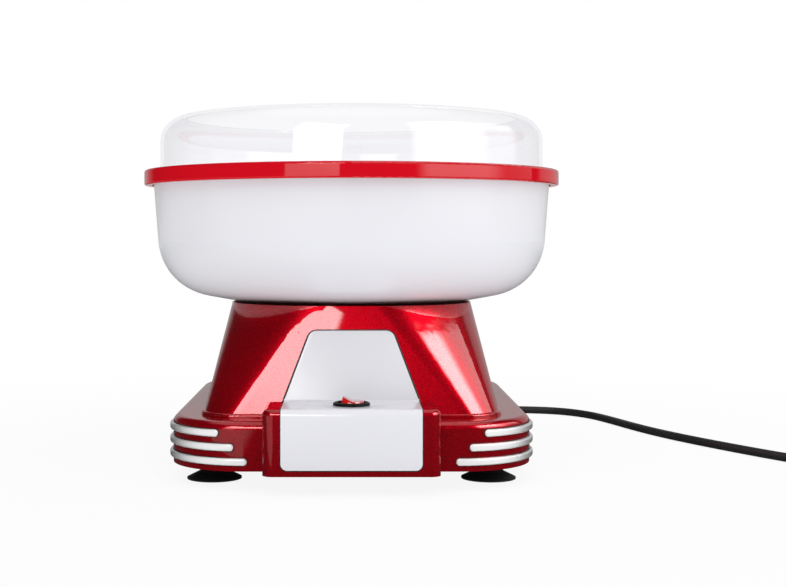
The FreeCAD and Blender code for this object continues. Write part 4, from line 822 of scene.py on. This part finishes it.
class CandySwitch(bpy.types.Operator):
    """Turn the switch's bezel and polish its rocker"""

    bl_idname = "candy.switch"
    bl_label = "Switch"

    def execute(self, context):
        cup = turned([
            (0, -16), (9.9, -16, 0.4), (9.9, 0), (11.4, 0, 0.3), (11.4, 1.2, 0.8),
            (10.4, 1.75, 0.5), (9.5, 2, 0.3), (8.95, 1.7, 0.2), (8.7, 0.9), (8.7, -8), (0, -8)],
            72, SWITCH_PLACE)
        finished("switch_bezel", cup, "bezel_black", "housing", ["switch_body"])
        rocker = soften(merged("switch_rocker"), 0.45, 3)
        finished("switch_rocker_cap", rocker, "rocker_red", "rocker", ["switch_rocker"])
        return {"FINISHED"}


# ------------------------------------------------------------------ silver strips
class CandyStrips(bpy.types.Operator):
    """Round the edges of the silver strips and lay dark films round them as painted shade of their
    gaps
    """

    bl_idname = "candy.strips"
    bl_label = "Silver strips"

    def execute(self, context):
        for node in LOOK_OF["strip_silver"]:
            shape = soften(merged(node), 1.4, 6)
            finished(node.replace("trim_strip", "silver_bead"), shape, "strip_silver", "housing",
                     [node])
            self.seam(node)
        return {"FINISHED"}

    def seam(self, node):
        """Thin dark film under a strip, a little wider all round: painted shade of the gap it sits
        in.
        """
        spread, face, back = 0.42, 0.07, -0.4
        shape = merged(node)
        bmesh.ops.recalc_face_normals(shape, faces=shape.faces)
        moves = []
        for point in shape.verts:
            outwards, proud = self.wall(point.co)
            away = point.normal - outwards * point.normal.dot(outwards)
            away = away.normalized() if away.length > 0.2 else Vector()
            level = face if proud > 0.5 else back
            moves.append((point, vector(away * spread + outwards * (level - proud))))
        for point, move in moves:
            point.co += move
        finished(node.replace("trim_strip", "bead_gap_shade"), shape, "gap_shade_black", "housing")

    @staticmethod
    def wall(place):
        """Outward direction of the base's side wall near a place, and how far it stands proud."""
        over = Vector([max(abs(value) / MM - half + BASE_CORNER, 0) * (1 if value > 0 else -1)
                       for value, half in zip(place.xy, BASE_HALF)] + [0])
        return over.normalized(), over.length - BASE_CORNER


STEPS = [CandyFinishes, CandyStage, CandyLead, CandyRelief, CandyGuard, CandyPanelPlate,
         CandySwitch, CandyStrips]


class CandyPanel(bpy.types.Panel):
    """Lists the steps in the 3D view's sidebar"""

    bl_idname = "VIEW3D_PT_candy"
    bl_label = "Cotton Candy Machine"
    bl_space_type = "VIEW_3D"
    bl_region_type = "UI"
    bl_category = "Candy"

    def draw(self, context):
        for step in STEPS:
            self.layout.operator(step.bl_idname)


CLASSES = [CandySizes, CandyColours, *STEPS, CandyPanel]


def register():
    for item in CLASSES:
        bpy.utils.register_class(item)
    bpy.types.Scene.candy_sizes = bpy.props.PointerProperty(type=CandySizes)
    bpy.types.Scene.candy_colours = bpy.props.PointerProperty(type=CandyColours)


def unregister():
    del bpy.types.Scene.candy_colours
    del bpy.types.Scene.candy_sizes
    for item in reversed(CLASSES):
        bpy.utils.unregister_class(item)


def main():
    register()
    for step in STEPS:
        group, name = step.bl_idname.split(".")
        getattr(getattr(bpy.ops, group), name)()
    bpy.context.view_layer.update()


if __name__ == "__main__":
    main()
